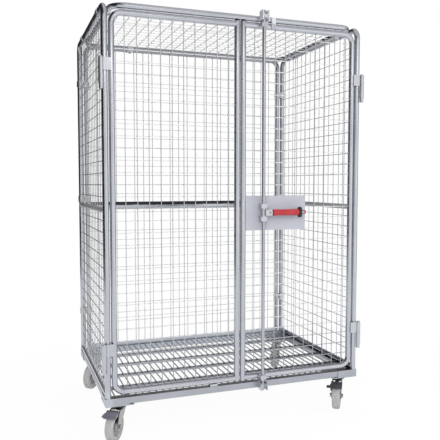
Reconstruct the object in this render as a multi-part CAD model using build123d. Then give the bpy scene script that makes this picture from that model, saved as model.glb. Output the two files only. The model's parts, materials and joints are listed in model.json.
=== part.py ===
from build123d import *
from math import ceil, cos, floor, radians, sin, sqrt
import os

# Roll container with two mesh doors, millimetres, +Z up, doors facing -Y.
# The origin is on the floor under the middle of the whole container.

# Cage
CAGE_WIDTH = 1200.0
CAGE_DEPTH = 820.0
PANEL_HEIGHT = 1620.0
PANEL_GAP = 7.0

# Tubes
TUBE_D = 25.0
TUBE_WALL = 1.5
BEND_R = 42.5
ROOF_BEND_R = 60.0
BAR_D = 24.0
BAR_WALL = 1.5
MID_BAR_RISE = 780.0
BACK_MID_BAR_TALL = 40.0
WELD_GAP = 0.05

# Mesh
WIRE_D = 3.5
WIRE_PITCH = 50.0
FIRST_WIRE_RISE = 85.0
LEAF_FIRST_WIRE = 66.0

# Base
RAIL_SIZE = 30.0
RAIL_WALL = 2.0
RAIL_CORNER_R = 3.0
BRACKET_T = 3.0
BRACKET_LEG = 100.0
PAD_SIDE = 120.0
PAD_T = 5.0
BEARER_WIDTH = 25.0
BEARER_H = 12.0
BEARER_COUNT = 4
BEARER_PITCH = 163.0
FLOOR_ROD_D = 6.0
FLOOR_ROD_PITCH = 30.0

# Doors
LEAF_SIDE_GAP = 3.0
LEAF_MEET_GAP = 3.0
LEAF_FLOOR_GAP = 10.0
LEAF_ROOF_GAP = 4.0
REST_GAP = 0.3
REST_X = -125.0
REST_LENGTH = 35.0
REST_DEPTH = 20.0
STOP_X = 152.0
STOP_WIDTH = 20.0
STOP_T = 4.0
STOP_OVERLAP = 22.0
STOP_SADDLE_H = 16.0

# Hinges
HINGE_RISES = (206.0, 1369.0)
PIN_D = 12.0
PIN_NOSE = 4.0
KNUCKLE_D = 21.0
LEAF_KNUCKLE_H = 50.0
POST_KNUCKLE_H = 54.0
KNUCKLE_GAP = 0.3
HINGE_FIT = 0.05
HINGE_POST_GAP = 0.35
HINGE_WEB = 10.0
STRAP_T = 5.0
STRAP_GAP = 1.0
STRAP_SADDLE_START = 2.5
STRAP_SADDLE_END = 11.0
COLLAR_D = 18.0
COLLAR_H = 20.0

# Clamps that hold neighbouring panels together
CLAMP_T = 3.0
CLAMP_LENGTH = 30.0
CLAMP_PLAY = 1.0
CLAMP_HEAD_H = 4.0
CLAMP_NUT_H = 5.0
REAR_CLAMP_BAY_COUNTS = (2, 14, 26)
ROOF_SIDE_CLAMP_BAY_COUNTS = (-6, 4)
ROOF_REAR_CLAMP_BAY_COUNTS = (-7, 6)

# Lock rod
ROD_D = 16.0
ROD_X = 101.5
ROD_STANDOFF = 14.0
ROD_FIT = 0.08
ROD_ABOVE = 21.0
ROD_BELOW = 37.0
GUIDE_WIDTH = 28.0
GUIDE_H = 20.0
GUIDE_WALL = 3.0
CAM_T = 8.0
CAM_H = 14.0
CAM_REACH = 15.5
CAM_COLLAR_WALL = 1.5
KEEPER_GAP = 24.0
KEEPER_CHEEK = 4.0
KEEPER_FRONT_WEB = 11.0
KEEPER_CLEAR = 0.5
WINDOW_CLEAR = 1.25
WINDOW_RISE = 3.0
TOP_KEEPER_H = 42.0
TOP_KEEPER_SEAT = 24.0
LOW_KEEPER_H = 34.0

# Lever and lock plate
LOCK_PLATE_END = 319.0
LOCK_PLATE_RISE = 683.0
LOCK_PLATE_H = 153.0
LOCK_PLATE_T = 2.5
LEVER_RISE = 763.0
LEVER_D = 16.0
LEVER_STANDOFF = 18.0
LEVER_ROOT = 13.0
LEVER_LENGTH = 197.0
HUB_D = 26.0
HUB_H = 36.0
HUB_GAP = 0.3
LUG_LENGTH = 31.0
LUG_WALL = 3.0
LUG_H = 26.0
LEVER_BOLT_D = 6.0
LEVER_BOLT_REACH = 22.0
GRIP_D = 30.0
GRIP_START = 36.0
GRIP_LENGTH = 127.0
GRIP_ROUND = 4.0
FLANGE_START = 163.5
FLANGE_WIDTH = 13.0
FLANGE_H = 49.0
CLIP_START = 179.0
CLIP_WIDTH = 10.0
CLIP_H = 28.0
CLIP_FIT = 0.5
PADLOCK_HOLE_D = 6.0

# Casters
CASTER_INSET = 65.0
HEADING = 35.0
TRAIL = 44.0
TOP_PLATE_LENGTH = 105.0
TOP_PLATE_WIDTH = 85.0
TOP_PLATE_T = 4.0
BOLT_SPACING_LONG = 80.0
BOLT_SPACING_WIDE = 60.0
CASTER_BOLT_D = 8.0
BOLT_HOLE_PLAY = 1.0
BOLT_HEAD_AF = 13.0
BOLT_HEAD_H = 5.3
RACE_D = 64.0
RACE_H = 6.0
CROWN_D = 72.0
CROWN_H = 16.7
SWIVEL_GAP = 0.3
KINGPIN_D = 14.0
KINGPIN_NUT_D = 24.0
KINGPIN_NUT_H = 9.5
RUN_FIT = 0.05
FORK_GAP = 40.0
FORK_LEG_T = 4.0
FORK_EYE_R = 17.0
FORK_FRONT = 26.0
FORK_REAR = 36.0
AXLE_D = 12.0
AXLE_HEAD_D = 20.0
AXLE_HEAD_H = 7.0
WHEEL_D = 125.0
WHEEL_CLEAR = 3.0
TREAD_WIDTH = 36.0
TREAD_T = 14.5
TREAD_ROUND = 8.0
RIM_WIDTH = 32.0
RIM_WALL = 8.0
HUB_BOSS_D = 30.0
HUB_SIDE_PLAY = 0.5
WEB_T = 12.0

# Wheel brakes on the front casters
BRAKE_SWING = 15.0
BRAKE_PIVOT_AHEAD = 4.0
BRAKE_PIVOT_ABOVE = 29.5
BRAKE_PIN_D = 10.0
BRAKE_ARM_T = 4.0
BRAKE_ARM_R = 11.0
BRAKE_SHOE_ANGLE = 50.0
BRAKE_SHOE_SPREAD = 44.0
BRAKE_SHOE_T = 5.0
BRAKE_SHOE_GAP = 0.3
BRAKE_SIDE_GAP = 0.3
PEDAL_REACH = 18.0
PEDAL_LENGTH = 18.0
PEDAL_T = 5.0
PEDAL_OFFSET = 25.0

# Levels and planes that the pieces share
tube_r = TUBE_D / 2
caster_height = WHEEL_D + WHEEL_CLEAR + CROWN_H + SWIVEL_GAP + RACE_H + TOP_PLATE_T
rim_d = WHEEL_D - 2 * TREAD_T
brake_back = TRAIL - BRAKE_PIVOT_AHEAD
brake_rise = WHEEL_D / 2 + BRAKE_PIVOT_ABOVE
base_bottom = caster_height + PAD_T
base_top = base_bottom + RAIL_SIZE
panel_top = base_top + PANEL_HEIGHT
top_z = panel_top - tube_r
front_reach = ROD_STANDOFF + LEVER_STANDOFF + GRIP_D / 2
rear_reach = CLAMP_T + CLAMP_HEAD_H
y_front = (front_reach - CAGE_DEPTH - rear_reach) / 2
y_rear = y_front + CAGE_DEPTH
y_mid = (y_front + y_rear) / 2
half_width = CAGE_WIDTH / 2
side_x = half_width - tube_r
inner_x = side_x - TUBE_D - PANEL_GAP
leaf_y = y_front + tube_r
back_y = y_rear - tube_r
roof_rear_y = back_y - TUBE_D - PANEL_GAP
layer = (WIRE_D + WELD_GAP) / 2
leaf_low = base_top + LEAF_FLOOR_GAP
leaf_high = panel_top - TUBE_D - LEAF_ROOF_GAP
leaf_outer_x = side_x - TUBE_D - LEAF_SIDE_GAP
leaf_meet_x = LEAF_MEET_GAP / 2 + tube_r
hinge_offset = (tube_r + KNUCKLE_D / 2 + HINGE_POST_GAP) / sqrt(2)
hinge_x = side_x + hinge_offset
hinge_y = leaf_y - hinge_offset
rod_y = y_front - ROD_STANDOFF
lever_y = rod_y - LEVER_STANDOFF
lever_z = base_top + LEVER_RISE
plate_back = leaf_y - layer - WIRE_D / 2 - WELD_GAP
plate_front = plate_back - LOCK_PLATE_T


def box(x0, x1, y0, y1, z0, z1):
    """Block between two corners, given in either order along each axis."""
    low = (min(x0, x1), min(y0, y1), min(z0, z1))
    return Solid.make_box(abs(x1 - x0), abs(y1 - y0), abs(z1 - z0), Plane(low))


def rod(start, end, diameter):
    """Round bar between two points."""
    span = Vector(*end) - Vector(*start)
    return Solid.make_cylinder(diameter / 2, span.length, Plane(origin=start, z_dir=span))


def pipe(start, end, diameter, wall):
    """Round tube between two points, open at both ends."""
    return rod(start, end, diameter) - rod(start, end, diameter - 2 * wall)


def bent_tube(points, radius):
    """Frame tube along a path with bent corners, open at both ends."""
    path = FilletPolyline(*points, radius=radius)
    start = Plane(origin=path @ 0, z_dir=path % 0)
    outer = sweep(start * Circle(TUBE_D / 2), path=path)
    bore = sweep(start * Circle(TUBE_D / 2 - TUBE_WALL), path=path)
    return outer - bore


def square_tube(plane, width, height, length, wall):
    """Rounded square tube that runs from a plane along its normal."""
    outer = RectangleRounded(width, height, RAIL_CORNER_R)
    bore = RectangleRounded(width - 2 * wall, height - 2 * wall, RAIL_CORNER_R - wall)
    return extrude(plane * (outer - bore), length)


def hexagon(diameter, plane, height):
    """Hexagon head or nut, its size across the corners."""
    return extrude(plane * RegularPolygon(diameter / 2, 6), height)


def post_cut(x, y):
    """Round room that a vertical frame tube takes from a piece welded to it."""
    return rod((x, y, base_top - RAIL_SIZE), (x, y, panel_top + RAIL_SIZE), TUBE_D + 2 * WELD_GAP)


def level_cut(y, z):
    """Round room that a frame tube across the width takes from a piece welded to it."""
    return rod((-half_width, y, z), (half_width, y, z), TUBE_D + 2 * WELD_GAP)


def grid(centre, low, high):
    """Wire places on one pitch about a centre, at least half a pitch inside both tubes."""
    first = ceil((low + WIRE_PITCH / 2 - centre) / WIRE_PITCH)
    last = floor((high - WIRE_PITCH / 2 - centre) / WIRE_PITCH)
    return [centre + step * WIRE_PITCH for step in range(first, last + 1)]


def wire_levels(high):
    """Heights of the level wires below a panel's top tube."""
    last = floor((high - WIRE_PITCH / 2 - base_top - FIRST_WIRE_RISE) / WIRE_PITCH)
    return [base_top + FIRST_WIRE_RISE + step * WIRE_PITCH for step in range(last + 1)]


def corner_cut(inset, bend):
    """How far a wire stops short of a tube's straight edge where it meets a bent corner."""
    inner = bend - tube_r
    reach = inner - (inset - WIRE_D / 2)
    return inner - sqrt(inner ** 2 - min(max(reach, 0.0), inner) ** 2)


def wire(start, end):
    """One mesh wire."""
    return rod(start, end, WIRE_D)


def solids(*shapes):
    """Every solid of the given shapes, in order."""
    return [solid for shape in shapes for solid in shape.solids()]


def base_rails():
    """Front and rear rails over the full width, with the side rails between them."""
    end_x = half_width - BRACKET_T
    half = RAIL_SIZE / 2
    z = base_bottom + half
    rails = []
    for y in (y_front + BRACKET_T + half, y_rear - BRACKET_T - half):
        rails.append(square_tube(Plane((-end_x, y, z), z_dir=(1, 0, 0)), RAIL_SIZE, RAIL_SIZE, 2 * end_x,
                                 RAIL_WALL))
    start = y_front + BRACKET_T + RAIL_SIZE
    length = CAGE_DEPTH - 2 * (BRACKET_T + RAIL_SIZE)
    for side in (-1, 1):
        rails.append(square_tube(Plane((side * (end_x - half), start, z), z_dir=(0, 1, 0)), RAIL_SIZE,
                                 RAIL_SIZE, length, RAIL_WALL))
    return solids(*rails)


def caster_places():
    """Swivel axes of the casters, front left, front right, rear left and rear right."""
    x = half_width - CASTER_INSET
    return [(side * x, y) for y in (y_front + CASTER_INSET, y_rear - CASTER_INSET) for side in (-1, 1)]


def bolt_places(centre):
    """Bolt holes of one caster plate."""
    return [(centre[0] + i * BOLT_SPACING_LONG / 2, centre[1] + j * BOLT_SPACING_WIDE / 2)
            for i in (-1, 1) for j in (-1, 1)]


def corner_brackets():
    """Corner plates with a pad under the rails that each caster bolts to."""
    made = []
    for centre in caster_places():
        x_out = half_width if centre[0] > 0 else -half_width
        y_out = y_rear if centre[1] > y_mid else y_front
        x_in = -1 if centre[0] > 0 else 1
        y_in = -1 if centre[1] > y_mid else 1
        bracket = box(x_out, x_out + x_in * PAD_SIDE, y_out, y_out + y_in * PAD_SIDE, caster_height,
                      base_bottom)
        for x_side, y_side in ((BRACKET_LEG, BRACKET_T), (BRACKET_T, BRACKET_LEG)):
            bracket += box(x_out, x_out + x_in * x_side, y_out, y_out + y_in * y_side, caster_height,
                           base_top)
        for x, y in bolt_places(centre):
            bracket -= rod((x, y, caster_height), (x, y, base_bottom), CASTER_BOLT_D)
        made.append(bracket)
    return solids(*made)


def floor_bearers():
    """Tubes across the base that carry the floor rods."""
    end_x = half_width - BRACKET_T - RAIL_SIZE
    z = base_top - FLOOR_ROD_D - BEARER_H / 2
    made = []
    for index in range(BEARER_COUNT):
        y = y_mid + (index - (BEARER_COUNT - 1) / 2) * BEARER_PITCH
        plane = Plane((-end_x, y, z), x_dir=(0, 1, 0), z_dir=(1, 0, 0))
        made.append(square_tube(plane, BEARER_WIDTH, BEARER_H, 2 * end_x, RAIL_WALL))
    return solids(*made)


def floor_rods():
    """Rods along the depth, their tops level with the rails."""
    inner = half_width - BRACKET_T - RAIL_SIZE
    bays = floor((2 * inner - 2 * FLOOR_ROD_D) / FLOOR_ROD_PITCH)
    z = base_top - FLOOR_ROD_D / 2
    y0 = y_front + BRACKET_T + RAIL_SIZE
    y1 = y_rear - BRACKET_T - RAIL_SIZE
    xs = [(index - bays / 2) * FLOOR_ROD_PITCH for index in range(bays + 1)]
    return [rod((x, y0, z), (x, y1, z), FLOOR_ROD_D) for x in xs]


def side_frame(side):
    """Bent tube of one side panel, standing on the base."""
    x = side * side_x
    points = [(x, leaf_y, base_top), (x, leaf_y, top_z), (x, back_y, top_z), (x, back_y, base_top)]
    return solids(bent_tube(points, BEND_R))


def side_bars():
    """Bottom bar and middle bar of both side panels."""
    made = []
    for side in (-1, 1):
        x = side * side_x
        for z in (base_top + BAR_D / 2, base_top + MID_BAR_RISE):
            bar = pipe((x, leaf_y, z), (x, back_y, z), BAR_D, BAR_WALL)
            made.append(bar - post_cut(x, leaf_y) - post_cut(x, back_y))
    return solids(*made)


def level_wires(levels, bar_low, bar_high):
    """Heights of the level wires that miss the middle bar."""
    margin = WIRE_D
    return [z for z in levels if z < bar_low - margin or z > bar_high + margin]


def side_mesh(side):
    """Wires of one side panel, split at its middle bar."""
    x_upright = side * (side_x - layer)
    x_level = side * (side_x + layer)
    y0 = leaf_y + tube_r
    y1 = back_y - tube_r
    bar_low = base_top + MID_BAR_RISE - BAR_D / 2
    bar_high = bar_low + BAR_D
    high = top_z - tube_r
    made = []
    for y in grid(y_mid, y0, y1):
        cut = corner_cut(min(y - y0, y1 - y), BEND_R)
        made.append(wire((x_upright, y, base_top + BAR_D), (x_upright, y, bar_low)))
        made.append(wire((x_upright, y, bar_high), (x_upright, y, high - cut)))
    for z in level_wires(wire_levels(high), bar_low, bar_high):
        cut = corner_cut(high - z, BEND_R)
        made.append(wire((x_level, y0 + cut, z), (x_level, y1 - cut, z)))
    return made


def back_frame():
    """Bent tube of the back panel, between the side panels."""
    x = inner_x
    points = [(-x, back_y, base_top), (-x, back_y, top_z), (x, back_y, top_z), (x, back_y, base_top)]
    return solids(bent_tube(points, BEND_R))


def back_bars():
    """Round bottom bar and tall oval middle bar of the back panel."""
    z = base_top + BAR_D / 2
    bottom = pipe((-inner_x, back_y, z), (inner_x, back_y, z), BAR_D, BAR_WALL)
    middle_z = base_top + MID_BAR_RISE + BAR_D / 2 - BACK_MID_BAR_TALL / 2
    plane = Plane((-inner_x, back_y, middle_z), x_dir=(0, 0, 1), z_dir=(1, 0, 0))
    profile = SlotOverall(BACK_MID_BAR_TALL, BAR_D)
    profile -= SlotOverall(BACK_MID_BAR_TALL - 2 * BAR_WALL, BAR_D - 2 * BAR_WALL)
    middle = extrude(plane * profile, 2 * inner_x)
    cuts = [post_cut(-inner_x, back_y), post_cut(inner_x, back_y)]
    return solids(bottom - cuts, middle - cuts)


def back_mesh():
    """Wires of the back panel, split at its middle bar."""
    y_upright = back_y - layer
    y_level = back_y + layer
    reach = inner_x - tube_r
    bar_high = base_top + MID_BAR_RISE + BAR_D / 2
    bar_low = bar_high - BACK_MID_BAR_TALL
    high = top_z - tube_r
    made = []
    for x in grid(0.0, -reach, reach):
        cut = corner_cut(reach - abs(x), BEND_R)
        made.append(wire((x, y_upright, base_top + BAR_D), (x, y_upright, bar_low)))
        made.append(wire((x, y_upright, bar_high), (x, y_upright, high - cut)))
    for z in level_wires(wire_levels(high), bar_low, bar_high):
        cut = corner_cut(high - z, BEND_R)
        made.append(wire((-reach + cut, y_level, z), (reach - cut, y_level, z)))
    return made


def roof_frame():
    """Front and rear bows of the roof, butted on the middle of its sides."""
    middle = (leaf_y + roof_rear_y) / 2
    made = []
    for y in (leaf_y, roof_rear_y):
        points = [(-inner_x, middle, top_z), (-inner_x, y, top_z), (inner_x, y, top_z),
                  (inner_x, middle, top_z)]
        made.append(bent_tube(points, ROOF_BEND_R))
    return solids(*made)


def roof_mesh():
    """Wires of the roof panel."""
    reach = inner_x - tube_r
    y0 = leaf_y + tube_r
    y1 = roof_rear_y - tube_r
    made = []
    for x in grid(0.0, -reach, reach):
        cut = corner_cut(reach - abs(x), ROOF_BEND_R)
        made.append(wire((x, y0 + cut, top_z + layer), (x, y1 - cut, top_z + layer)))
    for y in grid(y_mid, y0, y1):
        cut = corner_cut(min(y - y0, y1 - y), ROOF_BEND_R)
        made.append(wire((-reach + cut, y, top_z - layer), (reach - cut, y, top_z - layer)))
    return made


def door_bow(side):
    """Bent outer tube of one door leaf, coped to its meeting stile."""
    low = leaf_low + tube_r
    high = leaf_high - tube_r
    meet = side * leaf_meet_x
    outer = side * leaf_outer_x
    points = [(meet, leaf_y, high), (outer, leaf_y, high), (outer, leaf_y, low), (meet, leaf_y, low)]
    return solids(bent_tube(points, BEND_R) - post_cut(meet, leaf_y))


def door_stile(side):
    """Straight meeting stile of one door leaf."""
    x = side * leaf_meet_x
    return solids(pipe((x, leaf_y, leaf_low), (x, leaf_y, leaf_high), TUBE_D, TUBE_WALL))


def door_mesh(side):
    """Wires of one door leaf, the upright ones in front, spaced from its left edge."""
    edges = sorted([side * (leaf_outer_x + tube_r), side * (leaf_meet_x - tube_r)])
    x0 = edges[0] + TUBE_D
    x1 = edges[1] - TUBE_D
    z0 = leaf_low + TUBE_D
    z1 = leaf_high - TUBE_D
    count = floor((x1 - edges[0] - LEAF_FIRST_WIRE - WIRE_PITCH / 4) / WIRE_PITCH) + 1
    made = []
    for index in range(count):
        x = edges[0] + LEAF_FIRST_WIRE + index * WIRE_PITCH
        inset = x - x0 if side < 0 else x1 - x
        cut = corner_cut(inset, BEND_R)
        made.append(wire((x, leaf_y - layer, z0 + cut), (x, leaf_y - layer, z1 - cut)))
    for z in wire_levels(z1):
        cut = corner_cut(min(z - z0, z1 - z), BEND_R)
        ends = (x0 + cut, x1) if side < 0 else (x0, x1 - cut)
        made.append(wire((ends[0], leaf_y + layer, z), (ends[1], leaf_y + layer, z)))
    return made


def hinge_levels():
    """Bottom and top of each leaf knuckle."""
    half = LEAF_KNUCKLE_H / 2
    return [(base_top + rise - half, base_top + rise + half) for rise in HINGE_RISES]


def hinge_straps(side):
    """Leaf knuckles, each with a strap in front of the post and a saddle on the leaf tube's outer side."""
    x_pin = side * hinge_x
    x_leaf = side * leaf_outer_x
    x_start = x_leaf + side * STRAP_SADDLE_START
    x_end = x_leaf + side * STRAP_SADDLE_END
    strap_back = y_front - STRAP_GAP
    made = []
    for low, high in hinge_levels():
        strap = box(x_start, x_pin, strap_back - STRAP_T, strap_back, low, high)
        strap += box(x_start, x_end, strap_back - STRAP_T, leaf_y, low, high)
        strap += rod((x_pin, hinge_y, low), (x_pin, hinge_y, high), KNUCKLE_D)
        strap -= post_cut(x_leaf, leaf_y)
        strap -= rod((x_pin, hinge_y, low), (x_pin, hinge_y, high), PIN_D + 2 * HINGE_FIT)
        made.append(strap)
    return solids(*made)


def hinge_knuckles():
    """Post knuckles under the leaf knuckles, each with a web to its post."""
    made = []
    for side in (-1, 1):
        x_pin = side * hinge_x
        x_post = side * side_x
        toward_post = Plane((x_pin, hinge_y, 0), x_dir=(-side, 1, 0), z_dir=(0, 0, 1))
        for leaf_bottom, _ in hinge_levels():
            top = leaf_bottom - KNUCKLE_GAP
            low = top - POST_KNUCKLE_H
            reach = hinge_offset * sqrt(2)
            web = Pos(reach / 2, 0, (low + top) / 2) * Box(reach, HINGE_WEB, POST_KNUCKLE_H)
            knuckle = rod((x_pin, hinge_y, low), (x_pin, hinge_y, top), KNUCKLE_D)
            knuckle += toward_post * web
            knuckle -= post_cut(x_post, leaf_y)
            knuckle -= rod((x_pin, hinge_y, low), (x_pin, hinge_y, top), PIN_D)
            made.append(knuckle)
    return solids(*made)


def hinge_pins():
    """Pins fixed in the post knuckles, with a collar below and a nose above the leaf knuckle."""
    made = []
    for side in (-1, 1):
        x = side * hinge_x
        for leaf_bottom, leaf_top in hinge_levels():
            seat = leaf_bottom - KNUCKLE_GAP - POST_KNUCKLE_H
            pin = rod((x, hinge_y, seat), (x, hinge_y, leaf_top + PIN_NOSE), PIN_D)
            made.append(pin + rod((x, hinge_y, seat - COLLAR_H), (x, hinge_y, seat), COLLAR_D))
    return solids(*made)


def clamp_planes():
    """Places of the panel clamps: x from tube to tube, z along the tubes, y along the bolt."""
    planes = []
    middle_x = (side_x + inner_x) / 2
    for side in (-1, 1):
        for bay in REAR_CLAMP_BAY_COUNTS:
            z = base_top + FIRST_WIRE_RISE + (bay + 0.5) * WIRE_PITCH
            planes.append(Plane((side * middle_x, back_y, z), x_dir=(1, 0, 0), z_dir=(0, 0, 1)))
        for bay in ROOF_SIDE_CLAMP_BAY_COUNTS:
            y = y_mid + (bay + 0.5) * WIRE_PITCH
            planes.append(Plane((side * middle_x, y, top_z), x_dir=(1, 0, 0), z_dir=(0, -1, 0)))
    for bay in ROOF_REAR_CLAMP_BAY_COUNTS:
        x = (bay + 0.5) * WIRE_PITCH
        planes.append(Plane((x, (back_y + roof_rear_y) / 2, top_z), x_dir=(0, 1, 0), z_dir=(1, 0, 0)))
    return planes


def clamp_bolt_d():
    """Clamp bolt that passes between the two tubes."""
    return PANEL_GAP - CLAMP_PLAY


def panel_clamps():
    """Bands round pairs of neighbouring panel tubes."""
    spacing = side_x - inner_x
    profile = SlotCenterToCenter(spacing, TUBE_D + 2 * CLAMP_T)
    profile -= SlotCenterToCenter(spacing, TUBE_D + 2 * WELD_GAP)
    band = Pos(0, 0, -CLAMP_LENGTH / 2) * extrude(profile, CLAMP_LENGTH)
    band -= rod((0, -TUBE_D, 0), (0, TUBE_D, 0), clamp_bolt_d())
    return solids(*[plane * band for plane in clamp_planes()])


def clamp_bolts():
    """Bolt and nut that pull each clamp band together."""
    seat = tube_r + CLAMP_T
    size = clamp_bolt_d()
    head_d = 2 * size
    bolt = rod((0, -seat - CLAMP_NUT_H, 0), (0, seat, 0), size)
    bolt += hexagon(head_d, Plane((0, seat, 0), z_dir=(0, 1, 0)), CLAMP_HEAD_H)
    bolt += hexagon(head_d, Plane((0, -seat, 0), z_dir=(0, -1, 0)), CLAMP_NUT_H)
    return solids(*[plane * bolt for plane in clamp_planes()])


def keeper_back():
    """Front face of both keeper back plates, just behind the cam collar."""
    return rod_y + ROD_D / 2 + CAM_COLLAR_WALL + KEEPER_CLEAR


def cam_levels():
    """Heights of the two cams, in the middle of their keepers."""
    low = base_top - LOW_KEEPER_H / 2
    high = panel_top - TOP_KEEPER_SEAT + TOP_KEEPER_H / 2
    return low, high


def cam_sweep_front():
    """How far in front of the rod axis the cam tip moves while it leaves the cheek."""
    tip = sqrt(CAM_REACH ** 2 + (CAM_T / 2) ** 2)
    return sqrt(tip ** 2 - (KEEPER_GAP / 2) ** 2)


def keeper(middle, height, seat_y):
    """Channel open to the front, with a cam window in its right cheek."""
    low = middle - height / 2
    high = middle + height / 2
    inner = KEEPER_GAP / 2
    outer = inner + KEEPER_CHEEK
    window_front = rod_y - cam_sweep_front() - WINDOW_CLEAR
    tip = window_front - KEEPER_FRONT_WEB
    half_window = CAM_H / 2 + WINDOW_RISE
    made = box(ROD_X - outer, ROD_X + outer, tip, seat_y, low, high)
    made -= box(ROD_X - inner, ROD_X + inner, tip, keeper_back(), low, high)
    made -= box(ROD_X, ROD_X + outer, window_front, rod_y + CAM_T / 2 + WINDOW_CLEAR, middle - half_window,
                middle + half_window)
    return made


def rod_keepers():
    """Lower keeper on the front rail and upper keeper on the roof's front tube."""
    low_middle, high_middle = cam_levels()
    low = keeper(low_middle, LOW_KEEPER_H, y_front + BRACKET_T)
    high = keeper(high_middle, TOP_KEEPER_H, leaf_y) - level_cut(leaf_y, top_z)
    clear_top = box(-half_width, half_width, y_front, leaf_y, top_z, panel_top + TOP_KEEPER_H)
    return solids(low, high - clear_top)


def lock_rod():
    """Round rod from the lower keeper to the upper one."""
    start = (ROD_X, rod_y, base_top - ROD_BELOW)
    return [rod(start, (ROD_X, rod_y, panel_top + ROD_ABOVE), ROD_D)]


def rod_cams():
    """Finger cams that turn with the rod into the keeper windows."""
    made = []
    for z in cam_levels():
        low = z - CAM_H / 2
        high = z + CAM_H / 2
        cam = rod((ROD_X, rod_y, low), (ROD_X, rod_y, high), ROD_D + 2 * CAM_COLLAR_WALL)
        cam += box(ROD_X, ROD_X + CAM_REACH, rod_y - CAM_T / 2, rod_y + CAM_T / 2, low, high)
        made.append(cam - rod((ROD_X, rod_y, low), (ROD_X, rod_y, high), ROD_D))
    return solids(*made)


def plate_guide_levels():
    """Heights of the two guides that hold the lever hub between them."""
    offset = HUB_H / 2 + HUB_GAP + GUIDE_H / 2
    return lever_z - offset, lever_z + offset


def guide_front():
    """Front face of the rod guides."""
    return rod_y - ROD_D / 2 - GUIDE_WALL


def rod_guides():
    """Blocks that the rod turns in: on the leaf's bottom and top tubes and on the lock plate."""
    tube_levels = (leaf_low + tube_r, leaf_high - tube_r)
    bore = rod((ROD_X, rod_y, base_top), (ROD_X, rod_y, panel_top), ROD_D + 2 * ROD_FIT)
    places = [(z, leaf_y) for z in tube_levels] + [(z, plate_front) for z in plate_guide_levels()]
    made = []
    for z, seat in places:
        block = box(ROD_X - GUIDE_WIDTH / 2, ROD_X + GUIDE_WIDTH / 2, guide_front(), seat, z - GUIDE_H / 2,
                    z + GUIDE_H / 2)
        block -= bore
        for level in tube_levels:
            block -= level_cut(leaf_y, level)
        made.append(block)
    return solids(*made)


def lock_plate():
    """Sheet on the front of the right leaf's mesh, welded to its meeting stile."""
    low = base_top + LOCK_PLATE_RISE
    plate = box(leaf_meet_x, LOCK_PLATE_END, plate_front, plate_back, low, low + LOCK_PLATE_H)
    return solids(plate - post_cut(leaf_meet_x, leaf_y))


def lug_half():
    """Half the depth of the lug round the lever bar."""
    return LEVER_D / 2 + LUG_WALL


def lever_bolt_hole():
    """Hole for the bolt across the lug and the lever bar."""
    x = ROD_X + LEVER_BOLT_REACH
    return rod((x, lever_y - lug_half(), lever_z), (x, lever_y + lug_half(), lever_z), LEVER_BOLT_D)


def lever_hub():
    """Hub fixed on the rod, with a lug that holds the lever bar."""
    low = lever_z - HUB_H / 2
    high = lever_z + HUB_H / 2
    hub = rod((ROD_X, rod_y, low), (ROD_X, rod_y, high), HUB_D)
    hub += box(ROD_X, ROD_X + LUG_LENGTH, lever_y - lug_half(), lever_y + lug_half(), lever_z - LUG_H / 2,
               lever_z + LUG_H / 2)
    hub -= rod((ROD_X, rod_y, low), (ROD_X, rod_y, high), ROD_D)
    hub -= rod((ROD_X + LEVER_ROOT, lever_y, lever_z), (ROD_X + LUG_LENGTH, lever_y, lever_z), LEVER_D)
    return solids(hub - lever_bolt_hole())


def padlock_hole():
    """Upright hole through the clip and the lever bar for a padlock."""
    x = ROD_X + CLIP_START + CLIP_WIDTH / 2
    return rod((x, lever_y, lever_z - CLIP_H / 2), (x, lever_y, lever_z + CLIP_H / 2), PADLOCK_HOLE_D)


def lever_bar():
    """Bar of the lever, from the hub's lug to the tip past the clip."""
    bar = rod((ROD_X + LEVER_ROOT, lever_y, lever_z), (ROD_X + LEVER_LENGTH, lever_y, lever_z), LEVER_D)
    return solids(bar - lever_bolt_hole() - padlock_hole())


def lever_bolt():
    """Bolt and nut across the lug."""
    x = ROD_X + LEVER_BOLT_REACH
    bolt = lever_bolt_hole()
    head_d = 1.9 * LEVER_BOLT_D
    head_h = LEVER_BOLT_D / 2
    for way in (-1, 1):
        plane = Plane((x, lever_y + way * lug_half(), lever_z), z_dir=(0, way, 0))
        bolt += hexagon(head_d, plane, head_h)
    return solids(bolt)


def lever_grip():
    """Sleeve on the lever bar."""
    start = ROD_X + GRIP_START
    end = start + GRIP_LENGTH
    sleeve = rod((start, lever_y, lever_z), (end, lever_y, lever_z), GRIP_D)
    sleeve = fillet(sleeve.edges().filter_by(GeomType.CIRCLE), GRIP_ROUND)
    return solids(sleeve - rod((start, lever_y, lever_z), (end, lever_y, lever_z), LEVER_D))


def lever_flange():
    """Upright oval stop on the lever bar, between the grip and the clip."""
    plane = Plane((ROD_X + FLANGE_START, lever_y, lever_z), x_dir=(0, 0, 1), z_dir=(1, 0, 0))
    profile = SlotOverall(FLANGE_H, GRIP_D) - Circle(LEVER_D / 2)
    return solids(extrude(plane * profile, FLANGE_WIDTH))


def lever_clip():
    """Clip on the lock plate, open to the front, that the lever bar rests in."""
    x0 = ROD_X + CLIP_START
    x1 = x0 + CLIP_WIDTH
    half_slot = LEVER_D / 2 + CLIP_FIT
    front = lever_y - LEVER_D / 2
    clip = box(x0, x1, front, plate_front, lever_z - CLIP_H / 2, lever_z + CLIP_H / 2)
    clip -= box(x0, x1, front, lever_y + half_slot, lever_z - half_slot, lever_z + half_slot)
    return solids(clip - padlock_hole())


def door_stop():
    """Plate on the right leaf's top tube that closes against the roof's front tube."""
    x0 = STOP_X - STOP_WIDTH / 2
    x1 = STOP_X + STOP_WIDTH / 2
    back = y_front - REST_GAP
    tube_z = leaf_high - tube_r
    stop = box(x0, x1, back - STOP_T, back, leaf_high - TUBE_D, panel_top - TUBE_D + STOP_OVERLAP)
    stop += box(x0, x1, back, leaf_y, tube_z - STOP_SADDLE_H / 2, tube_z + STOP_SADDLE_H / 2)
    return solids(stop - level_cut(leaf_y, tube_z))


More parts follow.
